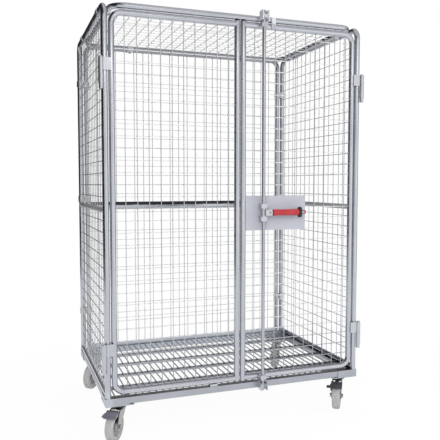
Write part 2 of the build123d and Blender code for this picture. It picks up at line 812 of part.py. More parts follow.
def door_rest():
    """Block on the front rail that the left leaf closes over."""
    y0 = y_front + BRACKET_T
    return [box(REST_X - REST_LENGTH / 2, REST_X + REST_LENGTH / 2, y0, y0 + REST_DEPTH, base_top,
                leaf_low - REST_GAP)]


def heading():
    """Turn that points every caster the same way at rest."""
    return Rot(0, 0, -HEADING)


def crown_top():
    """Top of the fork crown, under the fixed race."""
    return caster_height - TOP_PLATE_T - RACE_H - SWIVEL_GAP


def caster_plates():
    """Top plates with the fixed race, the kingpin and its nut."""
    plate_z = caster_height - TOP_PLATE_T
    nut_top = crown_top() - CROWN_H - SWIVEL_GAP
    made = []
    for x, y in caster_places():
        plate = box(x - TOP_PLATE_LENGTH / 2, x + TOP_PLATE_LENGTH / 2, y - TOP_PLATE_WIDTH / 2,
                    y + TOP_PLATE_WIDTH / 2, plate_z, caster_height)
        for hole_x, hole_y in bolt_places((x, y)):
            hole_d = CASTER_BOLT_D + BOLT_HOLE_PLAY
            plate -= rod((hole_x, hole_y, plate_z), (hole_x, hole_y, caster_height), hole_d)
        plate += rod((x, y, plate_z - RACE_H), (x, y, plate_z), RACE_D)
        plate += rod((x, y, nut_top), (x, y, plate_z), KINGPIN_D)
        plate += hexagon(KINGPIN_NUT_D, Plane((x, y, nut_top - KINGPIN_NUT_H)), KINGPIN_NUT_H)
        made.append(plate)
    return solids(*made)


def caster_bolts():
    """Bolts from below through each caster plate into its pad."""
    made = []
    plate_z = caster_height - TOP_PLATE_T
    for centre in caster_places():
        for x, y in bolt_places(centre):
            bolt = rod((x, y, plate_z), (x, y, base_bottom), CASTER_BOLT_D)
            corner_d = BOLT_HEAD_AF / cos(radians(30))
            made.append(bolt + hexagon(corner_d, Plane((x, y, plate_z - BOLT_HEAD_H)), BOLT_HEAD_H))
    return solids(*made)


def axle_line(reach):
    """Ends of a line along the wheel axle in the caster's own frame, trail towards -Y."""
    return (-reach, -TRAIL, WHEEL_D / 2), (reach, -TRAIL, WHEEL_D / 2)


def fork(braked):
    """Crown and two legs of one fork, with a brake pin hole where it carries a brake."""
    top = crown_top()
    low = top - CROWN_H
    crown = rod((0, 0, low), (0, 0, top), CROWN_D)
    crown = chamfer(crown.edges().filter_by(GeomType.CIRCLE).sort_by(Axis.Z)[-1], CROWN_H / 4)
    side_view = Plane((0, 0, 0), x_dir=(0, -1, 0), z_dir=(-1, 0, 0))
    eye = Pos(TRAIL, WHEEL_D / 2) * Circle(FORK_EYE_R)
    neck_at = Pos((FORK_REAR - FORK_FRONT) / 2, low + CROWN_H / 3)
    neck = neck_at * Rectangle(FORK_FRONT + FORK_REAR, CROWN_H / 1.5)
    outline = make_hull(eye.edges() + neck.edges())
    made = crown
    for start in (FORK_GAP / 2, -FORK_GAP / 2 - FORK_LEG_T):
        made += Pos(start + FORK_LEG_T, 0, 0) * extrude(side_view * outline, FORK_LEG_T)
    made -= rod((0, 0, low), (0, 0, top), KINGPIN_D + 2 * RUN_FIT)
    made -= rod(*axle_line(FORK_GAP), AXLE_D)
    if braked:
        pivot = (-brake_back, brake_rise)
        made -= rod((-FORK_GAP, *pivot), (0, *pivot), BRAKE_PIN_D + 2 * RUN_FIT)
    return made


def axle():
    """Axle bolt with a head and a nut outside the fork legs."""
    seat = FORK_GAP / 2 + FORK_LEG_T
    start, end = axle_line(seat)
    made = rod(start, end, AXLE_D)
    made += hexagon(AXLE_HEAD_D, Plane(start, z_dir=(-1, 0, 0)), AXLE_HEAD_H)
    return made + hexagon(AXLE_HEAD_D, Plane(end, z_dir=(1, 0, 0)), AXLE_HEAD_H)


def rim():
    """Wheel centre: hub boss, web and barrel."""
    boss = rod(*axle_line(FORK_GAP / 2 - HUB_SIDE_PLAY), HUB_BOSS_D)
    barrel = rod(*axle_line(RIM_WIDTH / 2), rim_d) - rod(*axle_line(RIM_WIDTH / 2), rim_d - 2 * RIM_WALL)
    web = rod(*axle_line(WEB_T / 2), rim_d - RIM_WALL)
    return barrel + web + boss - rod(*axle_line(FORK_GAP), AXLE_D + 2 * RUN_FIT)


def tyre():
    """Tread ring with rounded shoulders."""
    ring = rod(*axle_line(TREAD_WIDTH / 2), WHEEL_D)
    ring = fillet(ring.edges().filter_by(GeomType.CIRCLE), TREAD_ROUND)
    return ring - rod(*axle_line(TREAD_WIDTH / 2), rim_d)


def brake():
    """Brake arm outside the left leg, its pivot pin, the broad flat shoe over the tread and a toe tab."""
    side_view = Plane((0, 0, 0), x_dir=(0, -1, 0), z_dir=(-1, 0, 0))
    arm_side = FORK_GAP / 2 + FORK_LEG_T + BRAKE_SIDE_GAP
    arm_out = arm_side + BRAKE_ARM_T
    mid_r = WHEEL_D / 2 + BRAKE_SHOE_GAP + BRAKE_SHOE_T / 2
    angle = radians(BRAKE_SHOE_ANGLE)
    shoe_back = TRAIL + mid_r * cos(angle)
    shoe_rise = WHEEL_D / 2 + mid_r * sin(angle)
    pivot_disc = Pos(brake_back, brake_rise) * Circle(BRAKE_ARM_R)
    shoe_disc = Pos(shoe_back, shoe_rise) * Circle(BRAKE_SHOE_T)
    outline = make_hull(pivot_disc.edges() + shoe_disc.edges())
    arm = Pos(-arm_side, 0, 0) * extrude(side_view * outline, BRAKE_ARM_T)
    bar = Pos(shoe_back, shoe_rise) * Rot(0, 0, BRAKE_SHOE_ANGLE) * Rectangle(BRAKE_SHOE_T, BRAKE_SHOE_SPREAD)
    shoe = Pos(arm_out, 0, 0) * extrude(side_view * bar, arm_out + arm_side)
    lean = Vector(shoe_back - brake_back, shoe_rise - brake_rise)
    along = lean.normalized()
    centre = Pos(brake_back + along.X * PEDAL_OFFSET, brake_rise + along.Y * PEDAL_OFFSET)
    turn = Rot(0, 0, Vector(1, 0).get_signed_angle(lean))
    pedal = Pos(-arm_out, 0, 0) * extrude(side_view * (centre * turn * Rectangle(PEDAL_LENGTH, PEDAL_T)),
                                          PEDAL_REACH)
    pin_end = -FORK_GAP / 2 - BRAKE_SIDE_GAP
    pin = rod((-arm_side, -brake_back, brake_rise), (pin_end, -brake_back, brake_rise), BRAKE_PIN_D)
    pivot = Axis((0, -brake_back, brake_rise), (1, 0, 0))
    return [piece.rotate(pivot, -BRAKE_SWING) for piece in (arm, shoe, pedal, pin)]


def place_caster(place, *shapes):
    """Caster pieces at their swivel axis, at the rest heading."""
    return solids(*[Pos(place[0], place[1], 0) * heading() * shape for shape in shapes])


parts = {
    "base_rails": base_rails(),
    "corner_brackets": corner_brackets(),
    "floor_bearers": floor_bearers(),
    "floor_rods": floor_rods(),
    "side_bars": side_bars(),
    "back_frame": back_frame(),
    "back_bars": back_bars(),
    "back_mesh": back_mesh(),
    "roof_frame": roof_frame(),
    "roof_mesh": roof_mesh(),
    "hinge_knuckles": hinge_knuckles(),
    "hinge_pins": hinge_pins(),
    "panel_clamps": panel_clamps(),
    "clamp_bolts": clamp_bolts(),
    "rod_keepers": rod_keepers(),
    "door_rest": door_rest(),
    "door_stop": door_stop(),
    "lock_plate": lock_plate(),
    "rod_guides": rod_guides(),
    "lever_clip": lever_clip(),
    "lock_rod": lock_rod(),
    "rod_cams": rod_cams(),
    "lever_hub": lever_hub(),
    "lever_bar": lever_bar(),
    "lever_bolt": lever_bolt(),
    "lever_grip": lever_grip(),
    "lever_flange": lever_flange(),
    "caster_plates": caster_plates(),
    "caster_bolts": caster_bolts(),
}
for name, side in (("left", -1), ("right", 1)):
    parts[f"{name}_side_frame"] = side_frame(side)
    parts[f"{name}_side_mesh"] = side_mesh(side)
    parts[f"{name}_door_bow"] = door_bow(side)
    parts[f"{name}_door_stile"] = door_stile(side)
    parts[f"{name}_door_mesh"] = door_mesh(side)
    parts[f"{name}_hinge_straps"] = hinge_straps(side)
for name, place in zip(("front_left", "front_right", "rear_left", "rear_right"), caster_places()):
    braked = name.startswith("front")
    parts[f"{name}_fork"] = place_caster(place, fork(braked))
    parts[f"{name}_axle"] = place_caster(place, axle())
    parts[f"{name}_rim"] = place_caster(place, rim())
    parts[f"{name}_tyre"] = place_caster(place, tyre())
    if braked:
        parts[f"{name}_brake"] = place_caster(place, *brake())

os.makedirs("parts", exist_ok=True)
for name, pieces in parts.items():
    export_step(pieces[0] if len(pieces) == 1 else Compound(pieces), f"parts/{name}.step")
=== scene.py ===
# %% [markdown]
# # A roll container in bright zinc
# The container is a tall cage on four casters: bent tube frames filled with welded wire, two
# doors, a slatted floor and a turning lock rod. The CAD frame already holds every piece at its
# true place and on its moving body. This lesson dresses that frame: finishes first, then the
# small shapes that a plain solid leaves out, then a studio to look at it in.

# %% Load the frame
import json

import bmesh
import bpy
import numpy as np
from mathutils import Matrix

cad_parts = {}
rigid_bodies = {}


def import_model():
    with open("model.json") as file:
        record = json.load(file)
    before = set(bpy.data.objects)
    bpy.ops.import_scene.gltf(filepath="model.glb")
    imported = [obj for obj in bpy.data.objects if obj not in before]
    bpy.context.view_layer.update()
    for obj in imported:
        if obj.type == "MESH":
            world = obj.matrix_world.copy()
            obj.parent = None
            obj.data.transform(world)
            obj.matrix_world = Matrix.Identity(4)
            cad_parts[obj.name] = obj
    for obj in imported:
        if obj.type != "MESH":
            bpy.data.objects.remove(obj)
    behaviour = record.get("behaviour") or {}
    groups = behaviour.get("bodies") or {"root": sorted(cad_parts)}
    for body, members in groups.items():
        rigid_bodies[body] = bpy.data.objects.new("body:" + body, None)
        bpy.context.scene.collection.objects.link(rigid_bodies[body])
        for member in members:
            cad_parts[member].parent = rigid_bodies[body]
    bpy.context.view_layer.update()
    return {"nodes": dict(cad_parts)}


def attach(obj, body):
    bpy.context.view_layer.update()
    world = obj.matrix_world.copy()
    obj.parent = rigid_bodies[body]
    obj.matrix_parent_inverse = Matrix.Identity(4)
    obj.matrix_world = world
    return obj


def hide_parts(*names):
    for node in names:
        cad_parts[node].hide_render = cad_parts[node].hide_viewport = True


for leftover in list(bpy.data.objects):
    bpy.data.objects.remove(leftover, do_unlink=True)
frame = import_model()
nodes = frame["nodes"]

# %% [markdown]
# ## Helpers for finishes
# Several finishes share the same effects: the cloudy bloom of zinc, small handling marks, dust
# and the grain of a moulding. Each effect becomes one node group with named sockets, so that a
# material only states its own amounts. The groups give colours, masks and heights, and the
# shader itself stays in the material, where the exporter can read it. The helpers below add one
# node each, and take either a plain number or the socket of another node for every input. A
# socket knows its tree as id_data, so a helper that is given a socket needs no tree.


# %% Node helpers
def feed(tree, socket, value):
    """Links a socket to the socket that a value comes from, or sets it to a plain value."""
    if isinstance(value, bpy.types.NodeSocket):
        tree.links.new(value, socket)
    else:
        socket.default_value = value


def add_node(tree, kind, **settings):
    """One node of a tree: plain names set its properties, and a dict named inputs its sockets."""
    node = tree.nodes.new(f"ShaderNode{kind}")
    inputs = settings.pop("inputs", {})
    for key, value in settings.items():
        setattr(node, key, value)
    for socket, value in inputs.items():
        feed(tree, node.inputs[socket], value)
    return node


def new_group(name, inputs, outputs):
    """Empty shader group and its inputs: these are names with defaults, the outputs are names."""
    group = bpy.data.node_groups.new(name, "ShaderNodeTree")
    for label, default in inputs.items():
        kind = "NodeSocketColor" if isinstance(default, tuple) else "NodeSocketFloat"
        group.interface.new_socket(name=label, in_out="INPUT", socket_type=kind).default_value = default
    for label in outputs:
        kind = "NodeSocketColor" if label == "Color" else "NodeSocketFloat"
        group.interface.new_socket(name=label, in_out="OUTPUT", socket_type=kind)
    print("group", name, list(inputs), "to", list(outputs))
    return group, group.nodes.new("NodeGroupInput").outputs


def give(group, **results):
    """Feeds values into the named outputs of a group, which is then complete."""
    end = group.nodes.new("NodeGroupOutput")
    for label, value in results.items():
        group.links.new(value, end.inputs[label])
    return group


# %% Values over a surface
def object_place(tree):
    """Where a point lies on the container, in metres."""
    return add_node(tree, "TexCoord").outputs["Object"]


def along_axes(vector):
    """The x, y and z of a vector, as three values."""
    return add_node(vector.id_data, "SeparateXYZ", inputs={0: vector}).outputs[:]


def facing_up(tree):
    """The normal's z: 1 on faces that look up, 0 on upright ones."""
    return along_axes(add_node(tree, "NewGeometry").outputs["Normal"])[2]


def noise(place, waves, detail, stretch=None):
    """Noise between 0 and 1, in waves per metre, stretched where asked."""
    if stretch is not None:
        stretched = add_node(place.id_data, "Mapping", inputs={"Vector": place, "Scale": stretch})
        place = stretched.outputs["Vector"]
    inputs = {"Vector": place, "Scale": waves, "Detail": detail}
    return add_node(place.id_data, "TexNoise", inputs=inputs).outputs["Fac"]


def remap(value, low, high, to_low=0.0, to_high=1.0):
    """Value carried from one range to another, held at its ends."""
    inputs = dict(enumerate((value, low, high, to_low, to_high)))
    return add_node(value.id_data, "MapRange", inputs=inputs).outputs[0]


def maths(operation, first, second=0.0):
    """Sum, difference, comparison or other operation of two values."""
    tree = (first if isinstance(first, bpy.types.NodeSocket) else second).id_data
    inputs = {0: first, 1: second}
    return add_node(tree, "Math", operation=operation, inputs=inputs).outputs[0]


def product(value, *others):
    """All the values multiplied, one after the other."""
    for other in others:
        value = maths("MULTIPLY", value, other)
    return value


def mix_colour(factor, first, second):
    """Mix of two colours, each a socket or four numbers."""
    inputs = {0: factor, 6: first, 7: second}
    return add_node(factor.id_data, "Mix", data_type="RGBA", inputs=inputs).outputs[2]


# %% [markdown]
# ## Zinc bloom
# Bright zinc plating is not one even grey. It clouds over palms' breadths, carries a finer
# mottle of a few millimetres, and is a little duller where it clouds. Two noises of different
# size give both, and their sum also drives the roughness, so dull places are paler too.

# %% Bloom group
CLOUD_WAVES = 9.0
MOTTLE_WAVES = 140.0
MOTTLE_SHARE = 0.15


def make_zinc_bloom():
    """Colour = base mixed with a paler bloom by clouds; roughness rises with the same clouds."""
    group, given = new_group(
        "zinc_bloom", {"Base": (0.5, 0.52, 0.55, 1), "Bloom": (0.62, 0.63, 0.66, 1), "Amount": 0.5,
                       "Smooth": 0.22, "Dull": 0.38}, ["Color", "Roughness"])
    place = object_place(group)
    cloud = product(noise(place, CLOUD_WAVES, 4.0), 1 - MOTTLE_SHARE)
    mottle = product(noise(place, MOTTLE_WAVES, 2.0), MOTTLE_SHARE)
    mask = remap(maths("ADD", cloud, mottle), 0.36, 0.66)
    share = product(mask, given["Amount"])
    return give(group, Color=mix_colour(share, given["Base"], given["Bloom"]),
                Roughness=remap(mask, 0.0, 1.0, given["Smooth"], given["Dull"]))


zinc_bloom = make_zinc_bloom()

# %% [markdown]
# ## Handling marks and settled dust
# A container like this is knocked and rolled all day. Short faint scratches break up the gloss,
# and a thin veil of dust lies on what faces up and on the lowest hand's breadth. Both are masks
# that a material can spend on colour, roughness or height, so each becomes one group.

# %% Marks and dust groups
SCRATCH_WAVES = 22.0
SCRATCH_WIDTH = 0.012
SCRATCH_WAYS = ((1.0, 14.0, 1.0), (12.0, 1.0, 3.0))
LOW_DUST = (0.02, 0.2)


def make_handling_marks():
    """Height and mask of thin scratches: noise squeezed to narrow ridges in two directions."""
    group, given = new_group("handling_marks", {"Density": 0.5}, ["Mask", "Height"])
    place = object_place(group)
    lines = []
    for stretch in SCRATCH_WAYS:
        wave = noise(place, SCRATCH_WAVES, 5.0, stretch)
        ridge = maths("ABSOLUTE", maths("SUBTRACT", wave, 0.5))
        lines.append(remap(ridge, 0.0, SCRATCH_WIDTH, 1.0, 0.0))
    patch = remap(noise(place, 3.1, 2.0), 0.45, 0.65, 0.0, given["Density"])
    mask = product(maths("MAXIMUM", *lines), patch)
    return give(group, Mask=mask, Height=product(mask, -1.0))


def make_settled_dust():
    """Mask of dust: facing up, or in a low zone near the ground, broken by noise."""
    group, given = new_group("settled_dust", {"Amount": 0.3, "Low Zone": 0.2}, ["Mask"])
    place = object_place(group)
    height = along_axes(place)[2]
    upward = remap(facing_up(group), 0.55, 1.0, 0.0, 0.8)
    low = remap(height, *LOW_DUST, given["Low Zone"], 0.0)
    patches = remap(noise(place, 26.0, 4.0), 0.35, 0.7, 0.3, 1.0)
    mask = product(maths("MAXIMUM", upward, low), patches, given["Amount"])
    return give(group, Mask=mask)


handling_marks = make_handling_marks()
settled_dust = make_settled_dust()

# %% [markdown]
# ## Painted shade, painted light and wear in their places
# Other marks belong to one place each. Painted shade darkens the level tops of the base rails and
# the floor rods, most of it under the doors. A pale painted light brightens the shaded foot of the
# back and of the left side. A painted dark reflection covers the upper half of the rear middle
# bar. Painted shade lies on the roof's far tubes, and a grey dull coat of painted light lies on the
# sides' middle bars and the upper keeper. Painted shade darkens the lower door wires and the crowns
# of the front forks under the swivel races, and feet scuff the left brake plate. A painted
# highlight keeps the mesh's cross wires brighter than those that run up and back. A painted image
# could hold all this, but a zone of x, y and z broken up by noise needs no picture and stays sharp
# up close. The masks have one form, so one function makes their groups: written above a formula
# with an at sign, it turns that formula into a group of the same name.


# %% Mask helpers
def mask_group(formula):
    """Group of a formula's name that gives the formula at a place and its x, y, z, times Amount."""
    group, given = new_group(formula.__name__, {"Amount": 1.0}, ["Mask"])
    place = object_place(group)
    return give(group, Mask=product(formula(place, *along_axes(place)), given["Amount"]))


def above(value, limit):
    """1 where a value is greater than a limit, else 0."""
    return maths("GREATER_THAN", value, limit)


def below(value, limit):
    """1 where a value is less than a limit, else 0."""
    return maths("LESS_THAN", value, limit)


def between(value, low, high):
    """1 where a value lies between two limits, else 0."""
    return product(above(value, low), below(value, high))


def broken(place, waves, least, detail=4.0):
    """Noise between a least share and 1, which breaks a mask into patches."""
    return remap(noise(place, waves, detail), 0.3, 0.6, least, 1.0)


# %% Painted shade on the base and painted light at the panels' feet
PADS_TOP = 0.155
DOORS_TO_REAR = (-0.36, 0.3)
LEFT_TO_MIDDLE = (-0.62, 0.1)
FRONT_RAIL_END = (-0.362, -0.352)
PANEL_FOOT = (0.214, 0.226)
BACK_FOOT, BACK_OUTSIDE = (0.34, 0.4), 0.4285
LEFT_FOOT, LEFT_OUTSIDE = (-0.575, -0.56), -0.5985


@mask_group
def base_painted_shade(place, x, y, z):
    """Painted shade on level faces above the caster pads: all of the front rail, and less to the rear and
    left.
    """
    level = remap(facing_up(place.id_data), 0.3, 0.8)
    thinning = product(remap(y, *DOORS_TO_REAR, 0.84, 0.1), remap(x, *LEFT_TO_MIDDLE, 0.55, 1.0))
    spread = maths("MAXIMUM", thinning, remap(y, *FRONT_RAIL_END, 1.0, 0.0))
    return product(level, above(z, PADS_TOP), broken(place, 18.0, 0.75), spread)


@mask_group
def foot_painted_light(place, x, y, z):
    """Painted light on the shaded foot of the back panel, and half as much at the left side's, inside their
    outer faces.
    """
    rear = product(remap(y, *BACK_FOOT), below(y, BACK_OUTSIDE))
    left = product(remap(x, *LEFT_FOOT, 0.5, 0.0), above(x, LEFT_OUTSIDE))
    low = remap(z, *PANEL_FOOT, 1.0, 0.0)
    return product(low, maths("MAXIMUM", rear, left), broken(place, 20.0, 0.7))


# %% Painted reflection, painted shade and painted light on the tubes
DARK_BAND_EDGE, DARK_BAND_TOP = (0.9615, 0.9635), 0.99
DARK_BAND_FACE, DARK_BAND_HALF = (0.4, 0.4215), 0.541
DARK_BAND_WAVE = 0.004
ROOF_RISE = (1.72, 1.78)
ROOF_REAR, ROOF_RIGHT, ROOF_FRONT = (0.3, 0.38), (0.5, 0.57), (-0.33, -0.25)
SIDES_INSIDE = 0.57
BAR_RISE, BAR_DEPTH = (0.9575, 0.9825), (-0.364, 0.404)
KEEPER_FOOT, KEEPER_REAR = 1.78, -0.36


@mask_group
def rear_bar_painted_reflection(place, x, y, z):
    """Painted dark reflection on the inner upper half of the rear middle bar, above a ragged edge: z less a
    small wave.
    """
    wave = remap(noise(place, 30.0, 3.0, (1.0, 0.2, 0.2)), 0.3, 0.7, 0.0, DARK_BAND_WAVE)
    edge = remap(maths("SUBTRACT", z, wave), *DARK_BAND_EDGE)
    return product(edge, below(z, DARK_BAND_TOP), between(y, *DARK_BAND_FACE), between(x, -DARK_BAND_HALF, DARK_BAND_HALF))


@mask_group
def roof_painted_shade(place, x, y, z):
    """Painted shade on the rear and right tubes of the roof: high up, and far back or far right."""
    right = product(remap(x, *ROOF_RIGHT), remap(y, *ROOF_FRONT))
    far = maths("MAXIMUM", remap(y, *ROOF_REAR), right)
    return product(remap(z, *ROOF_RISE), far, broken(place, 16.0, 0.7))


@mask_group
def side_bar_painted_light(place, x, y, z):
    """Painted light, a grey dull coat, on the middle bars of both sides, between their posts."""
    sides = above(maths("ABSOLUTE", x), SIDES_INSIDE)
    return product(sides, between(z, *BAR_RISE), between(y, *BAR_DEPTH), broken(place, 20.0, 0.75))


@mask_group
def keeper_painted_light(place, x, y, z):
    """Painted light on the upper keeper: high up and at the front."""
    return product(above(z, KEEPER_FOOT), below(y, KEEPER_REAR), broken(place, 40.0, 0.8, 3.0))


# %% Wires, races and brake plate
ACROSS_LEAN = (0.02, 0.08)
KNEE_FADE, DOORS_REAR = (0.36, 0.44), -0.34
CROWN_RISE, SHADE_RUN = (0.122, 0.131), 0.003
PLATE_FADE = (0.1325, 0.1345)


@mask_group
def cross_wire_highlight(place, x, y, z):
    """Painted highlight on wires that run across the container: their own surface direction has no part
    along x.
    """
    direction = add_node(place.id_data, "TexCoord").outputs["Normal"]
    lean = maths("ABSOLUTE", along_axes(direction)[0])
    return remap(lean, *ACROSS_LEAN, 1.0, 0.0)


@mask_group
def low_wire_painted_shade(place, x, y, z):
    """Painted shade on door wires below knee height."""
    low = remap(z, *KNEE_FADE, 1.0, 0.0)
    return product(low, below(y, DOORS_REAR), broken(place, 24.0, 0.8, 3.0))


@mask_group
def crown_painted_shade(place, x, y, z):
    """Painted shade on the crowns of the front forks under the swivel races, above an uneven edge."""
    run = remap(noise(place, 60.0, 3.0), 0.3, 0.7, -SHADE_RUN, SHADE_RUN)
    return product(remap(maths("ADD", z, run), *CROWN_RISE), below(y, 0.0))


@mask_group
def plate_wear(place, x, y, z):
    """The left brake's plate, below the swivel head."""
    low = remap(z, *PLATE_FADE, 1.0, 0.0)
    return product(below(x, 0.0), low, broken(place, 90.0, 0.7, 3.0))


# %% [markdown]
# ## Moulded grain
# Plastic and rubber come out of a mould with a fine pebbled skin and a slightly uneven colour.
# One group gives a height for the bump, a roughness and a tint mask.


# %% Grain group
def make_moulded_grain():
    """Height of a pebbled skin, a soft tint mask, and roughness between two limits."""
    group, given = new_group("moulded_grain", {"Scale": 900.0, "Smooth": 0.4, "Dull": 0.6},
                             ["Height", "Tint", "Roughness"])
    place = object_place(group)
    pebble = add_node(group, "TexVoronoi", feature="SMOOTH_F1",
                      inputs={"Vector": place, "Scale": given["Scale"], "Smoothness": 0.6})
    soft = noise(place, 30.0, 3.0)
    return give(group, Height=pebble.outputs["Distance"], Tint=remap(soft, 0.35, 0.65),
                Roughness=remap(soft, 0.3, 0.7, given["Smooth"], given["Dull"]))


moulded_grain = make_moulded_grain()

# %% [markdown]
# ## The finishes
# Every steel piece is zinc plated, but the tubes are bright, the rolled base is duller, the lock
# plate is dull and even, and bolts are darker. One function builds all of these from the same
# groups: bloom, a veil of dust, and then the layers that a finish lists, from the lowest to the
# topmost, which are painted shade and painted light, except the brake plate's wear. A second
# function builds the plastics, the rubber and the brakes' dark coat, which the front swivel heads
# also carry as painted shade. The slot names are those of the record.

# %% Colours and helpers
DUST = (0.52, 0.50, 0.46, 1)
# PAINTED_DARK is painted shade, and on the rear middle bar a painted dark reflection.
PAINTED_DARK = (0.035, 0.034, 0.036, 1)
# FOOT_LIGHT is pale painted light on the shaded feet of the back and the left side.
FOOT_LIGHT = (0.58, 0.61, 0.66, 1)
# SIDE_BAR_LIGHT is painted light on the sides' middle bars.
SIDE_BAR_LIGHT = (0.42, 0.42, 0.43, 1)
# KEEPER_LIGHT is pale painted light on the upper keeper.
KEEPER_LIGHT = (0.70, 0.71, 0.73, 1)
# LOW_WIRE_SHADE is painted shade on the lower door wires.
LOW_WIRE_SHADE = (0.30, 0.31, 0.34, 1)
TRODDEN = (0.17, 0.17, 0.20, 1)
# WIRE_HIGHLIGHT is a painted highlight on the cross wires.
WIRE_HIGHLIGHT = (0.98, 0.98, 0.985, 1)


def new_finish(name):
    """A material with its node tree and its shader."""
    material = bpy.data.materials.new(name)
    material.use_nodes = True
    print("finish", name)
    return material, material.node_tree, material.node_tree.nodes["Principled BSDF"]


def place_group(tree, group, **values):
    """A group node in a material, with its own values on the named inputs."""
    inputs = {label.replace("_", " "): value for label, value in values.items()}
    return add_node(tree, "Group", node_tree=group, inputs=inputs).outputs


def dress(shader, height, strength, distance, **values):
    """Feeds a shader's named inputs, and its normal from a height through a bump."""
    bump = {"Height": height, "Strength": strength, "Distance": distance}
    values["Normal"] = add_node(shader.id_data, "Bump", inputs=bump).outputs["Normal"]
    for label, value in values.items():
        feed(shader.id_data, shader.inputs[label.replace("_", " ")], value)


# %% Layers of dirt, wear, painted shade and painted light
# Each layer is a mask group, a colour, an amount and whether it dulls. Every layer but the
# brake plate's wear is painted light, painted shade or a painted reflection.
LAYERS = {
    "zinc_tube": [(foot_painted_light, FOOT_LIGHT, 0.9, True), (side_bar_painted_light, SIDE_BAR_LIGHT, 0.9, True),
                  (rear_bar_painted_reflection, PAINTED_DARK, 0.97, False), (roof_painted_shade, PAINTED_DARK, 0.4, False)],
    "zinc_wire": [(cross_wire_highlight, WIRE_HIGHLIGHT, 0.95, False), (low_wire_painted_shade, LOW_WIRE_SHADE, 0.65, False)],
    "zinc_base": [(foot_painted_light, FOOT_LIGHT, 0.9, True), (base_painted_shade, PAINTED_DARK, 0.93, False)],
    "floor_rod": [(base_painted_shade, PAINTED_DARK, 0.12, False)],
    "zinc_fitting": [(keeper_painted_light, KEEPER_LIGHT, 0.95, True)],
    "zinc_caster": [(crown_painted_shade, PAINTED_DARK, 0.85, False)],
    "dark_brake": [(plate_wear, TRODDEN, 0.9, False)],
}


def add_layers(tree, name, colour, veil):
    """Colour mixed with each layer's by its mask, and the most of the veil and what dulls."""
    for group, tint, amount, dulls in LAYERS.get(name, []):
        mask = place_group(tree, group, Amount=amount)["Mask"]
        colour = mix_colour(mask, colour, tint)
        if dulls:
            veil = maths("MAXIMUM", veil, mask)
    return colour, veil


print("layers", {name: len(layers) for name, layers in LAYERS.items()})

# %% Zinc finishes
SCRATCH_DULLS = 0.18
VEIL_DULLS = 0.3
VEIL_HIDES = 0.6
SCRATCH_BUMP, SCRATCH_DEPTH = 0.06, 0.0002


def zinc_finish(name, base, bloom, amount, smooth, dull, marks, dust, low_zone, metal):
    """Zinc in its bloom, under dust and layers, with scratches in the bump.

    Roughness is the bloom's plus shares of scratches and veil, which also takes from the metal."""
    material, tree, shader = new_finish(name)
    cloud = place_group(tree, zinc_bloom, Base=(*base, 1), Bloom=(*bloom, 1), Amount=amount,
                        Smooth=smooth, Dull=dull)
    scratch = place_group(tree, handling_marks, Density=marks)
    veil = place_group(tree, settled_dust, Amount=dust, Low_Zone=low_zone)["Mask"]
    colour, veil = add_layers(tree, name, mix_colour(veil, cloud["Color"], DUST), veil)
    worn = maths("ADD", cloud["Roughness"], product(scratch["Mask"], SCRATCH_DULLS))
    rough = maths("ADD", worn, product(veil, VEIL_DULLS))
    bare = maths("SUBTRACT", metal, product(veil, VEIL_HIDES * metal))
    dress(shader, scratch["Height"], SCRATCH_BUMP, SCRATCH_DEPTH,
          Base_Color=colour, Roughness=rough, Metallic=bare)
    return material


# The columns are base, bloom, amount, smooth, dull, marks, dust, low zone and metal.
ZINC = {
    "zinc_tube": ((0.50, 0.52, 0.57), (0.60, 0.61, 0.65), 0.6, 0.14, 0.24, 0.5, 0.25, 0.15, 1.0),
    "zinc_wire": ((0.62, 0.63, 0.65), (0.70, 0.71, 0.73), 0.6, 0.20, 0.30, 0.3, 0.05, 0.15, 1.0),
    "zinc_base": ((0.40, 0.42, 0.47), (0.50, 0.51, 0.55), 0.7, 0.26, 0.40, 0.8, 0.20, 0.15, 1.0),
    "floor_rod": ((0.44, 0.455, 0.50), (0.54, 0.552, 0.59), 0.6, 0.28, 0.42, 0.5, 0.10, 0.15, 1.0),
    "zinc_fitting": ((0.54, 0.56, 0.60), (0.64, 0.65, 0.68), 0.6, 0.26, 0.40, 0.6, 0.20, 0.15, 1.0),
    "zinc_sheet": ((0.445, 0.455, 0.51), (0.49, 0.50, 0.55), 0.8, 0.48, 0.62, 0.7, 0.20, 0.15, 0.3),
    "zinc_rod": ((0.46, 0.48, 0.52), (0.54, 0.55, 0.58), 0.5, 0.18, 0.28, 0.5, 0.20, 0.15, 1.0),
    "zinc_caster": ((0.40, 0.41, 0.41), (0.52, 0.51, 0.47), 0.7, 0.30, 0.46, 0.7, 0.40, 0.5, 1.0),
    "fasteners": ((0.34, 0.35, 0.37), (0.46, 0.46, 0.47), 0.5, 0.26, 0.40, 0.4, 0.30, 0.15, 1.0),
}
finishes = {name: zinc_finish(name, *values) for name, values in ZINC.items()}

# %% Plastic, rubber and coated steel
GRAIN_BUMP = 0.5


def moulded_finish(name, base, shade, smooth, dull, grain, depth, dust, low_zone, recess_shade):
    """Moulding: tint between two colours, pebbled bump, painted shade in what the mesh marks as
    recess, the finish's layers, and a veil of dust on top."""
    material, tree, shader = new_finish(name)
    pebbles = place_group(tree, moulded_grain, Scale=1.0 / grain, Smooth=smooth, Dull=dull)
    colour = mix_colour(pebbles["Tint"], (*base, 1), (*shade, 1))
    if recess_shade > 0:
        hollow = add_node(tree, "Attribute", attribute_name="recess_shade").outputs["Fac"]
        colour = mix_colour(product(hollow, recess_shade), colour, PAINTED_DARK)
    veil = place_group(tree, settled_dust, Amount=dust, Low_Zone=low_zone)["Mask"]
    colour, veil = add_layers(tree, name, colour, veil)
    dress(shader, pebbles["Height"], GRAIN_BUMP, depth,
          Base_Color=mix_colour(veil, colour, DUST), Roughness=pebbles["Roughness"])
    return material


